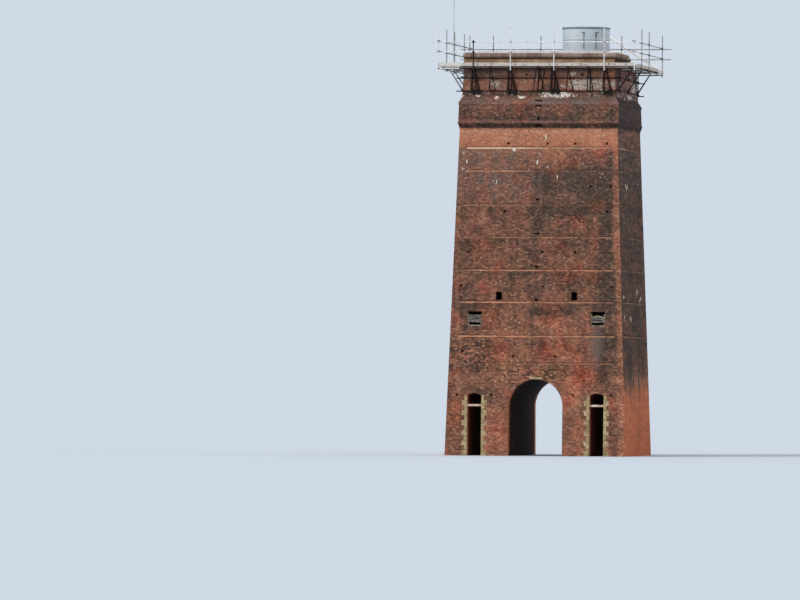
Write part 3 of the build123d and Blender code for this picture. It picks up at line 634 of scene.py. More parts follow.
# %% Buff, coping, fire and floor brick
STAIN, GRIT = 588.2, 22.22  # how wide a stain and the coarsened grit are, in millimetres
SMALL_BRICKS = {  # name, length and course in metres, colours from stained to clean, mortar, painted shade below
    "buff_brick": ("buff gault brick", 0.110, 0.075, ("766649", "9b8662", "bca77e", "d4c09c"), "84725a"),
    "firing_brick": ("smoked buff brick", 0.110, 0.075, ("57503f", "7b705c", "968a74", "aea390"), "6b6050"),
    "coping_brick": ("moulded coping brick", 0.230, 0.400, ("745f54", "9e8578", "b9a194", "cfc0b3"), "69504a",
                     "452d27"),
    "fire_brick": ("smoked firebrick", 0.230, 0.076, ("2a211d", "45372e", "5f4d3f", "7a6653"), "332a24"),
    "floor_brick": ("paving brick", 0.230, 0.115, ("3f2c25", "5c4136", "785647", "8f7361"), "4a3f37"),
}


def small_brick(name, length, course, colours, mortar, shade_below=None):
    made, tree = blank(name)
    at = masonry(tree, length, course)
    stains = add(tree, "TexNoise", {"Vector": at.place, "Scale": 1000 / STAIN, "Detail": 4.0, "Roughness": 0.65})
    grit = add(tree, "TexNoise", {"Vector": at.place, "Scale": 1000 / GRIT, "Detail": 3.0})
    tone = -0.30
    for part, amount in ((at.tint, 0.45), (stains, 1.15)):
        tone = add(tree, "Math", [part, amount, tone], operation="MULTIPLY_ADD")
    clay = add(tree, "ValToRGB", [tone], tuple(zip((0.05, 0.35, 0.6, 0.95), colours)))
    wall = add(tree, "Mix", [at.joint, clay, mortar], data_type="RGBA")
    if shade_below:
        # Painted shade: faces that point down are darker, as under the coping's roll
        upwards = add(tree, "SeparateXYZ", [at.normal]).outputs["Z"]
        below = add(tree, "MapRange", [upwards, -0.45, 0.40, 0.85, 0.0])
        wall = add(tree, "Mix", [below, wall, shade_below], data_type="RGBA")
    relief = 1.0
    for part, height in ((at.joint, -0.8), (grit, 0.6)):
        relief = add(tree, "Math", [part, height, relief], operation="MULTIPLY_ADD")
    surface(tree, wall, relief, 0.006, roughness=0.9, specular_ior_level=0.25)
    return made


for slot, words in SMALL_BRICKS.items():
    finish_of[slot] = small_brick(*words)
print("masonry finishes:", list(finish_of))

# %% [markdown]
# ## Metal, wood and plastic
# Scaffold tubes are steel dipped in zinc, the boards are spruce, and the drum is painted sheet steel. Each of these
# varies softly between a few tones, so one small recipe serves them all. What differs is in a table: the tones,
# the size of the cloud that mixes them, how deep its relief is, and what the shader gets.

# %% Zinc, painted steel, iron, boards and plastic
DULL, GRAIN = {"roughness": 0.85}, (444.4, 37.04)
FINISHES = {  # name, tones, size of the cloud across and up in millimetres, depth in metres, shader
    # Zinc that has dulled: a soft grey, halfway to a metal's gloss
    "scaffold_tube": ("galvanised steel tube, dulled", ("73645b", "95918d", "acabaa", "c2c1be"), (142.86, 142.86),
                      0.001, {"roughness": 0.55, "metallic": 0.35}),
    # Zinc with painted sunlight is nearly white, for the front's rails; the thin pole is nearly white too
    "sunlit_tube": ("galvanised steel tube, painted sunlit", ("a8a39e", "dcdad7", "efeeec", "f8f8f6"), (142.86, 142.86),
                    0.001, {"roughness": 0.5}),
    "pale_pole": ("zinc on a thin pole, new", ("a9b0b6", "bdc4ca", "d0d6db"), (200, 200), 0.0005, {"roughness": 0.5}),
    # Old oil and rust drink the light, so clamps look black from afar; the tubes under the decks are rust with
    # painted shade
    "rusty_shaded_tube": ("steel tube, rusty, in painted shade", ("120809", "1b0f0f", "281413", "42251f"), (142.86, 142.86), 0.001,
                  {"roughness": 0.6, "specular_ior_level": 0.2}),
    "clamp_steel": ("forged clamp, rusty", ("100c0c", "211a19", "453833"), (71.43, 71.43), 0.001,
                    {"roughness": 0.6, "specular_ior_level": 0.2}),
    # Thin paint on steel: smooth and pale, with faint upright stains where the rain runs
    "drum_steel": ("thin pale paint on sheet steel", ("b3c4d1", "c5d2dd", "d1dce4", "e0e7ec"), (909.1, 2597.4), 0.001,
                   {"roughness": 0.55}),
    "rim_paint": ("blue-grey paint on the rim", ("5f7788", "748b9b", "8fa2af"), (333.33, 333.33), 0.0005,
                  {"roughness": 0.5}),
    # Iron in lime dust: the bars carry a pale crust, the cast plates are bare and pitted
    "rusty_iron": ("iron bar with a lime crust", ("9c7f68", "c4a78f", "dcc3a9", "ead9c4"), (166.67, 166.67), 0.002,
                   DULL),
    "plate_iron": ("cast iron plate, grey and rusty", ("2b2422", "564b46", "80766f", "a0978f"), (166.67, 66.667),
                   0.002, {"roughness": 0.7}),
    # Sun and rain bleach spruce to silver, with a fine grain along the board; dirt and painted shade turn the edge
    # dark brown
    "deck_boards": ("bleached spruce boards", ("8d837a", "b3aaa2", "c9c1b9", "ded8d0"), GRAIN, 0.002, DULL),
    "edge_boards": ("spruce board, dirty, in painted shade", ("433330", "574540", "705d55"), GRAIN, 0.002,
                    {"roughness": 0.85, "specular_ior_level": 0.2}),
    "toe_boards": ("spruce board, bleached white", ("a2958c", "bcb1a8", "cfc5bc", "dfd6cd"), GRAIN, 0.002, DULL),
    "end_boards": ("spruce board, new", ("bdb8b2", "d2cec9", "e4e1dd"), GRAIN, 0.002, {"roughness": 0.8}),
    # Plastic pipe is smooth and plain white, and lime is chalky
    "white_pole": ("white polythene pipe", ("f2f4f6", "fafbfc", "ffffff"), (333.33, 333.33), 0.0005,
                   {"roughness": 0.35}),
    "lime": ("lime that has bled from the joints", ("a89a86", "c8bcab", "dcd3c6", "eae4d9"), (111.11, 111.11), 0.004,
             {"roughness": 0.95}),
}


def mottled(name, tones, size, depth, fixed):
    """A finish that a cloud of noise varies between a few tones."""
    made, tree = blank(name)
    place = add(tree, "TexCoord").outputs["Object"]
    scaled = add(tree, "VectorMath", [place, (1000 / size[0], 1000 / size[0], 1000 / size[1])], operation="MULTIPLY")
    cloud = add(tree, "TexNoise", {"Vector": scaled, "Scale": 1.0, "Detail": 5.0, "Roughness": 0.65})
    steps = [(0.30 + 0.40 * i / (len(tones) - 1), tone) for i, tone in enumerate(tones)]
    surface(tree, add(tree, "ValToRGB", [cloud], steps), cloud, depth, **fixed)
    return made


for slot, words in FINISHES.items():
    finish_of[slot] = mottled(*words)
for entry in frame["record"]["subparts"]:
    smoked = entry["node"].endswith("firing_frames")
    nodes[entry["node"]].data.materials[0] = finish_of["firing_brick" if smoked else entry["material_slot"]]
print("finishes:", len(bpy.data.materials))

# %% [markdown]
# ## Helpers for pieces
# A piece is a mesh at the origin that rides on the body "root". What repeats is grown by Geometry Nodes: a tree
# gets a mesh of points or lines, and its result is kept as a plain mesh.

# %% Mesh and tree helpers


def piece(name, mesh, finish=None):
    """Links a mesh as a piece of the kiln, with its finish, on the body root."""
    made = bpy.data.objects.new(name, mesh)
    bpy.context.scene.collection.objects.link(made)
    if finish:
        mesh.materials.append(finish)
    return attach(made, "root")


def new_tree(name, inputs):
    """A tree with geometry in and out, and the named inputs."""
    tree = bpy.data.node_groups.new(name, "GeometryNodeTree")
    tree.interface.new_socket("Geometry", in_out="INPUT", socket_type="NodeSocketGeometry")
    for label, kind in inputs.items():
        tree.interface.new_socket(label, in_out="INPUT", socket_type="NodeSocket" + kind)
    tree.interface.new_socket("Geometry", in_out="OUTPUT", socket_type="NodeSocketGeometry")
    return tree, tree.nodes.new("NodeGroupInput").outputs


def end_tree(tree, shape, finish):
    whole = add(tree, "GeometryNodeRealizeInstances", [shape])
    done = add(tree, "GeometryNodeSetMaterial", {"Geometry": whole, "Material": finish})
    add(tree, "NodeGroupOutput", [done])


def grow(name, tree, seeds, slot, **inputs):
    """Runs a tree on a mesh of seeds and keeps the result as a plain mesh."""
    carrier = bpy.data.objects.new(name + "_seeds", seeds)
    bpy.context.scene.collection.objects.link(carrier)
    growth = carrier.modifiers.new("growth", "NODES")
    growth.node_group = tree
    sockets = {s.name: s.identifier for s in tree.interface.items_tree if s.in_out == "INPUT"}
    for label, value in inputs.items():
        growth[sockets[label]] = value
    graph = bpy.context.evaluated_depsgraph_get()
    mesh = bpy.data.meshes.new_from_object(carrier.evaluated_get(graph), depsgraph=graph)
    carrier.modifiers.clear()
    bpy.data.objects.remove(carrier)
    mesh.name = name
    made = piece(name, mesh)
    print(name, "faces:", len(mesh.polygons))
    return made


def points(name, rows):
    """A mesh of loose points. Each row is a place, a size and a turn, and the last two become attributes."""
    mesh = bpy.data.meshes.new(name + "_points")
    mesh.from_pydata([place for place, size, turn in rows], [], [])
    for label, column in (("size", 1), ("turn", 2)):
        values = mesh.attributes.new(label, "FLOAT_VECTOR", "POINT")
        values.data.foreach_set("vector", [c for row in rows for c in row[column]])
    return mesh


# %% [markdown]
# ## Blocks on points
# Single bricks, arch bricks and boards are all blocks that sit at a place with a size and a turn. One tree sets
# them: it pushes each point out of the wall by a random amount, and puts a block on it.

# %% The tree that sets blocks
block_tree, given = new_tree("set blocks", {"Least": "Float", "Most": "Float", "Seed": "Int", "Finish": "Material"})
size = add(block_tree, "GeometryNodeInputNamedAttribute", {"Name": "size"}, data_type="FLOAT_VECTOR")
turn = add(block_tree, "GeometryNodeInputNamedAttribute", {"Name": "turn"}, data_type="FLOAT_VECTOR")
proud = add(block_tree, "FunctionNodeRandomValue",
            {"Min": given["Least"], "Max": given["Most"], "Seed": given["Seed"]})
proud = add(block_tree, "Math", [proud, -1.0], operation="MULTIPLY")
outwards = add(block_tree, "VectorRotate", {"Vector": add(block_tree, "CombineXYZ", {"Y": proud}), "Rotation": turn},
               rotation_type="EULER_XYZ")
moved = add(block_tree, "GeometryNodeSetPosition", {"Geometry": given["Geometry"], "Offset": outwards})
block = add(block_tree, "GeometryNodeMeshCube", {"Size": (1.0, 1.0, 1.0)})
set_blocks = add(block_tree, "GeometryNodeInstanceOnPoints",
                 {"Points": moved, "Instance": block, "Rotation": turn, "Scale": size})
end_tree(block_tree, set_blocks, given["Finish"])


def blocks(name, rows, slot, finish, seed=1, out=(0.0, 0.0)):
    """Sets a block on each row, pushed out by a random amount between two limits."""
    return grow(name, block_tree, points(name, rows), slot, Least=out[0], Most=out[1], Seed=seed, Finish=finish)


def upright_row(side, place, size=(1, 1, 1)):
    """A row of points() for what stands upright and looks out of one side. Its place is given as on the front."""
    return face_turned(place, side), size, (0.0, 0.0, TURN[side])


print("tree inputs:", [s.name for s in block_tree.interface.items_tree if s.in_out == "INPUT"])

# %% [markdown]
# ## Bricks that stand proud
# No old wall is flat. About one brick in ten stands a few millimetres out of the face, on the same bond as the
# finish, so that each keeps its own colour. Holes and grooves are left free.

# %% Proud bricks of the shaft
LEAN = math.atan(BATTER)
BLOCK_DEPTH, BURIED, PROUD_SHARE, COLUMNS = 0.06, 0.03, 0.10, 32
PROUD_OUT = (0.003, 0.009)
SQUARE_HOLES, FIRING_HOLES = ((1.70, 7.14), (0.27, 0.36)), ((2.78, 6.115), (0.65, 0.67))  # middle and size
GROOVE_CLEAR, EDGE_CLEAR, SLOT_CLEAR, HOLE_BESIDE, HOLE_ABOVE = 0.12, 0.03, 0.25, 0.02, 0.08


def on_wall(x, z, side):
    """Where the middle of a block goes that is partly buried in the leaning wall."""
    return face_turned((x, -half_at(z) + BURIED, z), side)


def is_free(x, z, length, wide):
    """True where a brick at this place of a face covers no hole, groove or edge."""
    if any(abs(z - groove) < GROOVE_CLEAR for groove in GROOVES):
        return False
    if abs(x) + length / 2 > half_at(z) - EDGE_CLEAR or (wide and abs(x) < SLOT_CLEAR):
        return False
    for (hole_x, hole_z), (width, height) in (SQUARE_HOLES, FIRING_HOLES) if wide else ():
        beside, above = abs(abs(x) - hole_x) - (width + length) / 2, abs(z - hole_z) - height / 2
        if beside < HOLE_BESIDE and above < HOLE_ABOVE:
            return False
    return True


def proud_bricks(side, seed):
    chance = random.Random(seed)
    rows = []
    for row in range(math.ceil(BASE_TOP / COURSE) + 1, int(SHAFT_TOP / COURSE) - 1):
        z = (row + 0.5) * COURSE
        for column in range(-COLUMNS, COLUMNS):
            x = (column + (0.5 if row % 2 else 0.0)) * BRICK
            if chance.random() > PROUD_SHARE or not is_free(x, z, BRICK, side in WIDE_SIDES):
                continue
            size = (BRICK - JOINT, BLOCK_DEPTH, COURSE - JOINT)
            rows.append((on_wall(x, z, side), size, (-LEAN, 0.0, TURN[side])))
    blocks(f"{side}_proud_bricks", rows, "red_brick", brick_walls, seed, PROUD_OUT)


for number, side in enumerate(SIDES):
    proud_bricks(side, 11 + number)

# %% [markdown]
# ## Arch rings
# Two rings of bricks on end carry the wall over the tunnel. Each brick points to the middle of the arch, so the
# rings are drawn as blocks round a half circle, a little proud of the face. Two pale blocks mark the crown.

# %% Bricks of the two rings
ARCH_RADIUS, SPRINGING, RING_STEP, RING_PITCH = 1.225, 2.20, 0.230, 0.078
CROWN_HALF, CROWN_UP, CROWN_HEIGHT, CROWN_BLOCKS = 0.32, 0.050, 0.095, ((-0.150, 0.280), (0.150, 0.300))
ARCH_OUT, CROWN_OUT = (0.002, 0.008), (0.006, 0.014)


def arch_ring(side, seed):
    rows = []
    for ring in range(2):
        radius = ARCH_RADIUS + RING_STEP * (ring + 0.5)
        count = round(math.pi * radius / RING_PITCH)
        for i in range(count):
            angle = math.pi * (i + 0.5) / count
            x, z = radius * math.cos(angle), SPRINGING + radius * math.sin(angle)
            turned = (Matrix.Rotation(TURN[side], 3, "Z") @ Matrix.Rotation(-LEAN, 3, "X")
                      @ Matrix.Rotation(math.pi / 2 - angle, 3, "Y")).to_euler()
            if ring or abs(x) > CROWN_HALF:
                rows.append((on_wall(x, z, side), (COURSE - JOINT, BLOCK_DEPTH, RING_STEP - JOINT), tuple(turned)))
    blocks(f"{side}_arch_bricks", rows, "red_brick", brick_walls, seed, ARCH_OUT)
    crown = [(on_wall(x, SPRINGING + ARCH_RADIUS + CROWN_UP, side), (wide, BLOCK_DEPTH, CROWN_HEIGHT),
              (-LEAN, 0.0, TURN[side])) for x, wide in CROWN_BLOCKS]
    blocks(f"{side}_crown_blocks", crown, "buff_brick", finish_of["buff_brick"], seed, CROWN_OUT)


for number, side in enumerate(WIDE_SIDES):
    arch_ring(side, 21 + number)

# %% [markdown]
# ## Deck boards
# Each side of the scaffold has a walkway four boards wide, with a board on edge along its outer rim that stops
# things from falling. The boards lie end to end, about 10 mm apart, and no two lie quite alike. The
# outermost boards are dirty and darkened with painted shade, apart from a short clean one, and the board on edge
# begins with a new length.

# %% Boards and toe boards
TUBE, BOARD, DECK_TOP = 0.048, 0.038, 17.40
STANDARD_LINE, DECK_INNER = 4.440, neck_half_at(DECK_TOP - BOARD) + 0.012
DECK_OUTER = STANDARD_LINE - TUBE / 2
LANES, LONG_BOARD, SHORTER, SHORT_BOARD, LAST_GAP = 4, 3.9, 1.3, 0.96, 0.3
TOE_HEIGHT, TOE_CUTS = 0.146, (-3.35, -0.40, 2.10)
END_GAP, TOE_GAP, SIDE_GAP, DIP, THINNER, TOE_THINNER = 0.012, 0.015, (0.006, 0.016), 0.004, 0.004, 0.006


def deck(side, seed):
    chance = random.Random(seed)
    half = DECK_OUTER if side in WIDE_SIDES else DECK_INNER
    wide = (DECK_OUTER - DECK_INNER) / LANES
    rows, edge, short = [], [], []
    for lane in range(LANES):
        start = -half
        while start < half - LAST_GAP:
            first, outer = start == -half, lane == LANES - 1
            length = min(LONG_BOARD - SHORTER * (lane % 2) * first, half - start)
            if outer and first:
                length = SHORT_BOARD
            z = DECK_TOP - BOARD / 2 - chance.uniform(0.0, DIP)
            board = (length - END_GAP, wide - chance.uniform(*SIDE_GAP), BOARD - THINNER)
            lane_rows = (short if first else edge) if outer else rows
            lane_rows.append(upright_row(side, (start + length / 2, -(DECK_INNER + (lane + 0.5) * wide), z), board))
            start += length
    made = blocks(f"{side}_deck_boards", rows, "deck_boards", finish_of["deck_boards"], seed)
    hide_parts(f"{side}_deck")
    # The outermost boards: dirty, with painted shade
    blocks(f"{side}_edge_boards", edge, "deck_boards", finish_of["edge_boards"], seed)
    blocks(f"{side}_short_boards", short, "deck_boards", finish_of["toe_boards"], seed)
    cuts = (-half, *TOE_CUTS, half)
    rims = [upright_row(side, ((a + b) / 2, -DECK_OUTER + BOARD / 2, DECK_TOP + TOE_HEIGHT / 2),
                        (b - a - TOE_GAP, BOARD - TOE_THINNER, TOE_HEIGHT - chance.uniform(0.0, TOE_THINNER)))
            for a, b in zip(cuts, cuts[1:])]
    blocks(f"{side}_end_board", rims[:1], "deck_boards", finish_of["end_boards"], seed)
    blocks(f"{side}_toe_board", rims[1:], "deck_boards", finish_of["toe_boards"], seed)


for number, side in enumerate(SIDES):
    deck(side, 31 + number)

# %% [markdown]
# ## Scaffold tubes
# The scaffold is plain steel tube, 48 mm across, cut to length and clamped. The rule is simple: every tube follows
# a straight line. So the lines are listed, and one tree sweeps a circle along them.

# %% The tree that makes tubes of lines
FACETS = 12  # enough for a tube that is one pixel wide
tube_tree, given = new_tree("tubes of lines", {"Radius": "Float", "Facets": "Int", "Finish": "Material"})
curve = add(tube_tree, "GeometryNodeMeshToCurve", [given["Geometry"]])
circle = add(tube_tree, "GeometryNodeCurvePrimitiveCircle", [given["Facets"], given["Radius"]])
swept = add(tube_tree, "GeometryNodeCurveToMesh", {"Curve": curve, "Profile Curve": circle, "Fill Caps": True})
end_tree(tube_tree, swept, given["Finish"])


def tubes(name, side, lines, finish, across=TUBE, slot="scaffold_tube", replaced=None):
    """Sweeps the lines of one side, which are given as on the front."""
    mesh = bpy.data.meshes.new(name + "_lines")
    ends = [face_turned(end, side) for line in lines for end in line]
    mesh.from_pydata(ends, [(i, i + 1) for i in range(0, len(ends), 2)], [])
    made = grow(name, tube_tree, mesh, slot, Radius=across / 2, Facets=FACETS, Finish=finish_of[finish])
    if replaced:
        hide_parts(replaced)


print("tree inputs:", [s.name for s in tube_tree.interface.items_tree if s.in_out == "INPUT"])

# %% [markdown]
# On each side, standards carry two guard rails and the edge of the deck. Brackets reach out from two ledgers on the
# neck: a short tube under the deck, and two leaning struts. On the front and back the main brackets have four
# struts. The front's rails have a painted sunlit finish and the tubes under the decks a rusty one with painted shade,
# apart from one dark standard and a painted sunlit length of tube at the front's left end. On the left side the
# bracket tubes are plain zinc, and on the right side the whole tube along the edge is plain zinc.

# %% Lines of the scaffold
MID_RAIL, TOP_RAIL, RAIL_OVERRUN = 18.01, 18.47, 0.42
STANDARD_FOOT, STANDARD_TOP = 17.20, 19.10
TRANSOM_Z = DECK_TOP - BOARD - TUBE / 2
EDGE_Z, EDGE_LINE, END_TRANSOMS = TRANSOM_Z - TUBE, STANDARD_LINE - TUBE, (-4.20, 4.20)
LOW_LEDGER, HIGH_LEDGER, LEDGER_OVERRUN = 16.30, 16.88, 0.25
LEDGER_LINE = neck_half_at(LOW_LEDGER - TUBE / 2) + TUBE / 2
STRUT_LINE = LEDGER_LINE + 0.640  # where the struts meet the deck
BRACKETS = {
    "front": (-2.87, -2.10, -1.22, 0.09, 0.72, 1.40, 2.32, 3.09),
    "right": (-2.90, 0.0, 3.00),
    "back": (-2.90, -1.90, -0.90, 0.0, 0.90, 1.90, 2.90),
    "left": (-3.00, -0.50, 2.00, 3.30),
}
SPREAD = {True: 0.15, False: 0.10}  # how far a strut leans sideways on a wide and on a narrow side
HEAVY = {"front": (-2.87, -1.22, 0.72, 3.09), "right": (), "back": (-2.90, -0.90, 0.90, 2.90), "left": ()}
STANDARDS = {
    "front": (-4.44, -2.83, -1.15, 0.81, 3.08, 4.44),
    "right": (-2.15, 0.20),
    "back": (-4.44, -2.57, -0.81, 1.15, 3.35, 4.44),
    "left": (-2.90, -0.20, 2.00),
}
OILY, OILY_TOP = ("front", -2.83), TOP_RAIL + 0.07  # one standard is dark up to the top rail
PALE_TO = -3.46  # up to here the tube along the front deck's edge has the painted sunlit finish
LOOSE, LOOSE_FOOT = ((0.40, 0.12), (0.22, -0.08), (0.02, -0.27)), 16.22  # tops and feet of three leaning tubes
print("brackets:", {side: len(at) for side, at in BRACKETS.items()})

# %% [markdown]
# The lines of each side are listed as on the front, and turned to their side. The rails of the narrow sides lie on
# those of the wide ones, so they are a tube's width higher. The two struts of a bracket meet under the deck and
# stand apart at the neck. At the main brackets a second pair stands outside them, with nearly the same lean.

# %% Rails and brackets


def level_line(start, stop, line, z):
    return (start, -line, z), (stop, -line, z)


def bracket_lines(side, lift):
    """The short tubes under the deck, the struts and the hangers of one side."""
    wide, low = side in WIDE_SIDES, LOW_LEDGER + lift
    spread = SPREAD[wide]
    lines = [((x, -DECK_OUTER, TRANSOM_Z), (x, -DECK_INNER, TRANSOM_Z))
             for x in BRACKETS[side] + (END_TRANSOMS if wide else ())]
    lines += [((x, -STRUT_LINE, TRANSOM_Z), (x + way, -LEDGER_LINE, low))
              for x in BRACKETS[side] for way in (-spread, spread)]
    lines += [((x, -LEDGER_LINE - TUBE, TRANSOM_Z), (x, -LEDGER_LINE - TUBE, LOW_LEDGER - TUBE))
              for x in BRACKETS[side][::2]]
    lines += [((x + way / 3, -STRUT_LINE, TRANSOM_Z), (x + way * 1.4, -LEDGER_LINE, low))
              for x in HEAVY[side] for way in (-spread, spread)]
    return lines


def scaffold(side):
    wide = side in WIDE_SIDES
    lift = 0.0 if wide else TUBE
    # The front's rails and pale ledger get the painted sunlit finish, the other sides plain zinc
    pale = "sunlit_tube" if side == "front" else "scaffold_tube"
    reach, ledger = STANDARD_LINE + RAIL_OVERRUN, LEDGER_LINE + LEDGER_OVERRUN
    rails = [level_line(-reach, reach, EDGE_LINE, z + lift) for z in (MID_RAIL, TOP_RAIL)]
    rails += [((x, -STANDARD_LINE, OILY_TOP if (side, x) == OILY else STANDARD_FOOT),
               (x, -STANDARD_LINE, STANDARD_TOP)) for x in STANDARDS[side]]
    tubes(f"{side}_rails", side, rails, pale, replaced=f"{side}_guard_rail")
    edge = DECK_OUTER if wide else EDGE_LINE - TUBE / 2
    cut = {"front": PALE_TO, "right": edge}.get(side, -edge)
    if cut > -edge:
        tubes(f"{side}_pale_ledger", side, [level_line(-edge, cut, EDGE_LINE, EDGE_Z)], pale)
    under = [level_line(cut, edge, EDGE_LINE, EDGE_Z)] if cut < edge else []
    under += [level_line(-ledger, ledger, LEDGER_LINE, z + lift) for z in (LOW_LEDGER, HIGH_LEDGER)]
    under += bracket_lines(side, lift)
    if side == "front":
        under += [((top, -EDGE_LINE, EDGE_Z), (foot, -LEDGER_LINE - TUBE, LOOSE_FOOT)) for top, foot in LOOSE]
        under.append(((OILY[1], -STANDARD_LINE, STANDARD_FOOT), (OILY[1], -STANDARD_LINE, OILY_TOP)))
    # Tubes under the decks get the rusty finish with painted shade, on the left side plain zinc
    tubes(f"{side}_bracket_tubes", side, under, "scaffold_tube" if side == "left" else "rusty_shaded_tube",
          replaced=f"{side}_brackets")


for side in SIDES:
    scaffold(side)

# %% [markdown]
# Two more poles are clamped outside the rails: a tall thin one at the left, and a white pipe that leans at the
# back right. The same tree makes them, from one line each and a radius of their own.

# %% The tall pole and the leaning pipe
THIN, POLE_ALONG, POLE_FOOT, POLE_TOP = 0.038, 0.20, 17.20, 20.60
PIPE, PIPE_TOP, PIPE_FOOT = 0.110, (1.87, 19.12), (4.58, 17.35)
pole, rake = STANDARD_LINE + (TUBE + THIN) / 2, STANDARD_LINE + (TUBE + PIPE) / 2
tubes("left_tall_pole", "front", [[(-pole, POLE_ALONG, z) for z in (POLE_FOOT, POLE_TOP)]], "pale_pole", THIN,
      replaced="tall_pole")
tubes("white_raking_pole", "front", [[(x, rake, z) for x, z in (PIPE_TOP, PIPE_FOOT)]], "white_pole", PIPE,
      "white_pole", "raking_pole")

# %% [markdown]
# ## Clamps
# Where two tubes cross, a forged clamp holds them: two short sleeves at right angles, with a bolt. It is a small
# dark knot in the photograph. The tree builds one clamp of plain parts and sets it at every crossing.

# %% The tree that sets clamps
SLEEVE_FACETS, BOLT, BOLT_ASIDE = 8, (0.095, 0.020, 0.020), 0.02
CLAMPS = {"rail_clamps": (0.036, 0.055), "wall_clamps": (0.044, 0.095), "foot_clamps": (0.056, 0.130)}
clamp_tree, given = new_tree("clamps", {"Sleeve": "Float", "Length": "Float", "Finish": "Material"})
turn = add(clamp_tree, "GeometryNodeInputNamedAttribute", {"Name": "turn"}, data_type="FLOAT_VECTOR")
sleeve = add(clamp_tree, "GeometryNodeMeshCylinder",
             {"Vertices": SLEEVE_FACETS, "Radius": given["Sleeve"], "Depth": given["Length"]})
upright = add(clamp_tree, "GeometryNodeTransform", {"Geometry": sleeve, "Translation": (0.0, -TUBE / 2, 0.0)})
level = add(clamp_tree, "GeometryNodeTransform",
            {"Geometry": sleeve, "Translation": (0.0, TUBE / 2, 0.0), "Rotation": (0.0, math.pi / 2, 0.0)})
bolt = add(clamp_tree, "GeometryNodeMeshCube", {"Size": BOLT})
bolt = add(clamp_tree, "GeometryNodeTransform", {"Geometry": bolt, "Translation": (BOLT_ASIDE, -TUBE / 2, 0.0)})
joined = add(clamp_tree, "GeometryNodeJoinGeometry")
for part in (bolt, level, upright):
    clamp_tree.links.new(part.outputs[0], joined.inputs[0])
set_clamps = add(clamp_tree, "GeometryNodeInstanceOnPoints",
                 {"Points": given["Geometry"], "Instance": joined, "Rotation": turn})
end_tree(clamp_tree, set_clamps, given["Finish"])


def clamps(name, side, knots, finish="clamp_steel"):
    """Sets a clamp on each knot. Its sleeves have the radius and length that the table gives for its kind."""
    rows, (sleeve, length) = [upright_row(side, knot) for knot in knots], CLAMPS[name]
    grow(f"{side}_{name}", clamp_tree, points(f"{side}_{name}", rows), "scaffold_tube", Sleeve=sleeve,
         Length=length, Finish=finish_of[finish])


print("tree inputs:", [s.name for s in clamp_tree.interface.items_tree if s.in_out == "INPUT"])

# %% [markdown]
# Rails and wall ledgers get a clamp at every crossing. At the feet of the main brackets, where four struts meet the
# lower ledger, the clamps crowd into a dark cluster. Small dark clips hold the board on edge.

# %% Clamps at the crossings
FOOT_CLUSTER = ((-0.15, 0.05), (0.15, 0.04), (-0.12, -0.07), (0.16, -0.08), (0.02, -0.02))
CLIP_LOW, CLIP_OUT, CLIP_WIDE, CLIP_DEEP = 0.045, 0.004, 0.036, 0.020
CLIPS = (  # place across and height
    (-2.62, 0.06), (-2.30, 0.04), (-2.00, 0.08), (-0.92, 0.06), (-0.55, 0.03), (0.62, 0.07), (0.95, 0.05),
    (1.62, 0.04), (2.02, 0.07), (2.24, 0.05), (2.80, 0.05), (3.28, 0.08), (3.56, 0.04), (4.05, 0.06),
)
RAIL_KNOT, WALL_KNOT = (STANDARD_LINE + EDGE_LINE) / 2, LEDGER_LINE + TUBE / 2

for side in SIDES:
    wide = side in WIDE_SIDES
    lift = 0.0 if wide else TUBE
    at = [x for x in STANDARDS[side] if abs(x) < EDGE_LINE and (side, x) != OILY]
    at += [] if wide else [-EDGE_LINE, EDGE_LINE]
    knots = [(x, -RAIL_KNOT, z) for x in at for z in (MID_RAIL + lift, TOP_RAIL + lift, EDGE_Z)]
    clamps("rail_clamps", side, knots, "scaffold_tube" if side == "front" else "clamp_steel")
    knots = [(x, -WALL_KNOT, z + lift) for x in BRACKETS[side] for z in (LOW_LEDGER, HIGH_LEDGER)]
    knots += [(OILY[1], -RAIL_KNOT, z) for z in (MID_RAIL, TOP_RAIL, EDGE_Z)] if side == "front" else []
    clamps("wall_clamps", side, knots)
    if wide:
        knots = [(x + way, -WALL_KNOT, LOW_LEDGER + up) for x in HEAVY[side] for way, up in FOOT_CLUSTER]
        clamps("foot_clamps", side, knots)
        rows = [upright_row(side, (x, -DECK_OUTER - CLIP_OUT, DECK_TOP + CLIP_LOW + tall / 2),
                            (CLIP_WIDE, CLIP_DEEP, tall)) for x, tall in CLIPS]
        blocks(f"{side}_toe_board_clips", rows, "scaffold_tube", finish_of["clamp_steel"])

# %% [markdown]
# ## Charging drum
# A drum of sheet steel stands on the right mouth and kept the chalk from spilling. Its shape is a profile turned
# round an axis: a plain wall, two beads that stiffen it, and a rolled rim.

# %% The drum
DRUM_AT, DRUM_LOW, DRUM_HIGH, DRUM_RADIUS, SHEET = (1.60, 0.0), 17.70, 19.29, 1.060, 0.012
BEADS, BEAD_PROFILE = (18.20, 18.72), ((0.0, -0.030), (0.018, -0.012), (0.018, 0.012), (0.0, 0.030))
RIM_PROFILE = ((-0.004, 19.205), (0.026, 19.212), (0.034, 19.245), (0.026, 19.278), (-0.004, 19.286))


def lathe(name, profile, middle, steps=72):
    """Turns a closed profile of (radius, height) round an upright axis."""
    verts, faces = [], []
    count = len(profile)
    for step in range(steps):
        angle = 2 * math.pi * step / steps
        verts += [(middle[0] + r * math.cos(angle), middle[1] + r * math.sin(angle), z) for r, z in profile]
        after = (step + 1) % steps
        for i in range(count):
            j = (i + 1) % count
            faces.append((step * count + i, after * count + i, after * count + j, step * count + j))
    mesh = bpy.data.meshes.new(name)
    mesh.from_pydata(verts, [], faces)
    return mesh


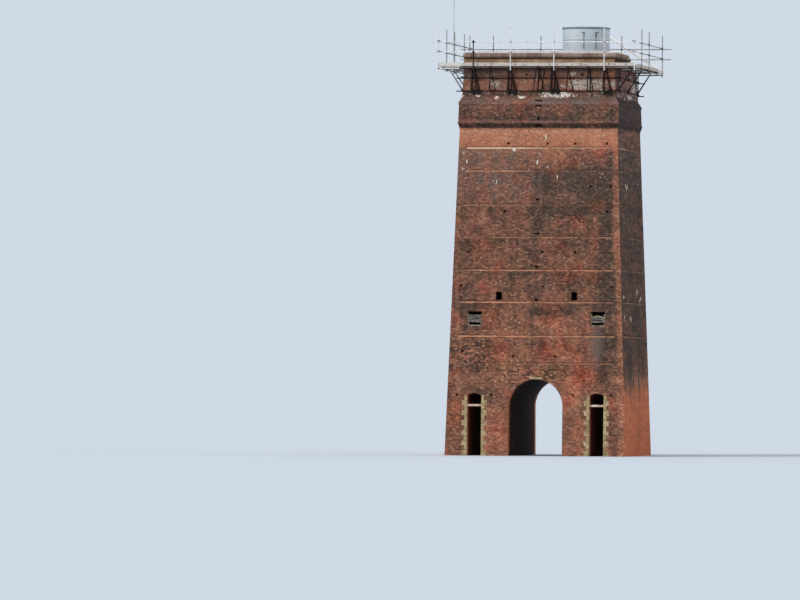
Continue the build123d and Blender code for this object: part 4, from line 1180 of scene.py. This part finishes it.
wall = [(DRUM_RADIUS, DRUM_LOW)]
wall += [(DRUM_RADIUS + out, bead + up) for bead in BEADS for out, up in BEAD_PROFILE]
wall += [(DRUM_RADIUS, DRUM_HIGH), (DRUM_RADIUS - SHEET, DRUM_HIGH), (DRUM_RADIUS - SHEET, DRUM_LOW)]
drum = piece("steel_drum", lathe("steel_drum", wall, DRUM_AT), finish_of["drum_steel"])
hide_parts("charging_drum")
rim = [(DRUM_RADIUS + out, z) for out, z in RIM_PROFILE]
piece("drum_rim", lathe("drum_rim", rim, DRUM_AT), finish_of["rim_paint"])
print("drum faces:", len(drum.data.polygons))

# %% [markdown]
# Two dark upright straps stand on the side of the drum that looks to the front, each with a short flat bar on top.
# They are blocks too. Each is turned to lie on the round wall at its place across.

# %% Straps on the drum
STRAPS = (  # place across, low and high end, and width
    (1.65, 18.30, 19.05, 0.026), (2.17, 18.86, 19.06, 0.060), (2.17, 18.30, 18.88, 0.020),
    (1.62, 19.03, 19.05, 0.150), (2.22, 19.03, 19.05, 0.160),
)
STRAP_DEPTH, STRAP_OUT = 0.040, 0.006

straps = []
for x, low, high, wide in STRAPS:
    round_by = math.asin((x - DRUM_AT[0]) / DRUM_RADIUS)
    y = -math.cos(round_by) * (DRUM_RADIUS + STRAP_OUT)
    straps.append(((x, y, (low + high) / 2), (wide, STRAP_DEPTH, high - low), (0.0, 0.0, round_by)))
blocks("drum_straps", straps, "drum_steel", finish_of["plate_iron"])

# %% [markdown]
# ## Lime runs
# Rain dissolves lime in the joints and leaves it lower down as white crusts. The largest ones are thin patches of
# uneven outline that lie on the wall. On the narrow faces each is broken into five drips.

# %% Lime runs on the walls
LIME_RUNS = {  # place across and up, width and height
    "front": ((0.34, 14.25, 0.07, 0.28), (-3.22, 13.16, 0.06, 0.20), (-0.03, 13.12, 0.08, 0.28),
              (0.43, 12.90, 0.05, 0.10), (0.88, 12.45, 0.05, 0.22), (-1.08, 13.68, 0.17, 0.17),
              (-1.86, 12.25, 0.05, 0.16), (2.90, 14.30, 0.04, 0.14)),
    "right": ((-3.10, 7.20, 0.40, 0.13), (1.16, 7.40, 0.44, 0.11), (2.10, 7.10, 0.44, 0.12),
              (-3.00, 6.20, 0.34, 0.10), (-1.10, 6.20, 0.50, 0.10), (-1.30, 12.10, 0.60, 0.16)),
    "back": ((-0.90, 14.20, 0.07, 0.28), (2.20, 13.00, 0.06, 0.22), (-2.60, 11.90, 0.08, 0.20)),
    "left": ((-1.80, 7.30, 0.30, 0.12), (1.90, 6.40, 0.26, 0.12), (0.70, 12.20, 0.40, 0.14)),
}
OUTLINE, DRIPS, RUN_BURIED, RUN_EDGE, RUN_CROWN = 18, 5, 0.01, 0.006, 0.011


def lime_runs(side, seed):
    chance = random.Random(seed)
    verts, faces, runs = [], [], LIME_RUNS[side]
    if side not in WIDE_SIDES:
        runs = [(x + wide * (i / (DRIPS - 1) - 0.5) + chance.uniform(-0.05, 0.05), z + chance.uniform(-0.12, 0.06),
                 wide / (DRIPS - 1) * chance.uniform(0.4, 1.3), tall * chance.uniform(0.5, 2.0))
                for x, z, wide, tall in runs for i in range(DRIPS)]
    for x, z, wide, tall in runs:
        first, ring = len(verts), []
        for i in range(OUTLINE):
            angle, stretch = 2 * math.pi * i / OUTLINE, chance.uniform(0.65, 1.1)
            ring.append((x + wide / 2 * stretch * math.cos(angle), z + tall / 2 * stretch * math.sin(angle)))
        for out in (-RUN_BURIED, RUN_EDGE):
            verts += [face_turned((rx, -half_at(rz) - out, rz), side) for rx, rz in ring]
        verts.append(face_turned((x, -half_at(z) - RUN_CROWN, z), side))
        for i in range(OUTLINE):
            here, after, top = first + i, first + (i + 1) % OUTLINE, first + 2 * OUTLINE
            faces += [(here, after, after + OUTLINE, here + OUTLINE), (here + OUTLINE, after + OUTLINE, top)]
    mesh = bpy.data.meshes.new(f"{side}_lime_runs")
    mesh.from_pydata(verts, [], faces)
    fresh = bmesh.new()
    fresh.from_mesh(mesh)
    bmesh.ops.recalc_face_normals(fresh, faces=fresh.faces)
    fresh.to_mesh(mesh)
    return piece(f"{side}_lime_runs", mesh, finish_of["lime"])


for number, side in enumerate(SIDES):
    print(lime_runs(side, 51 + number).name)
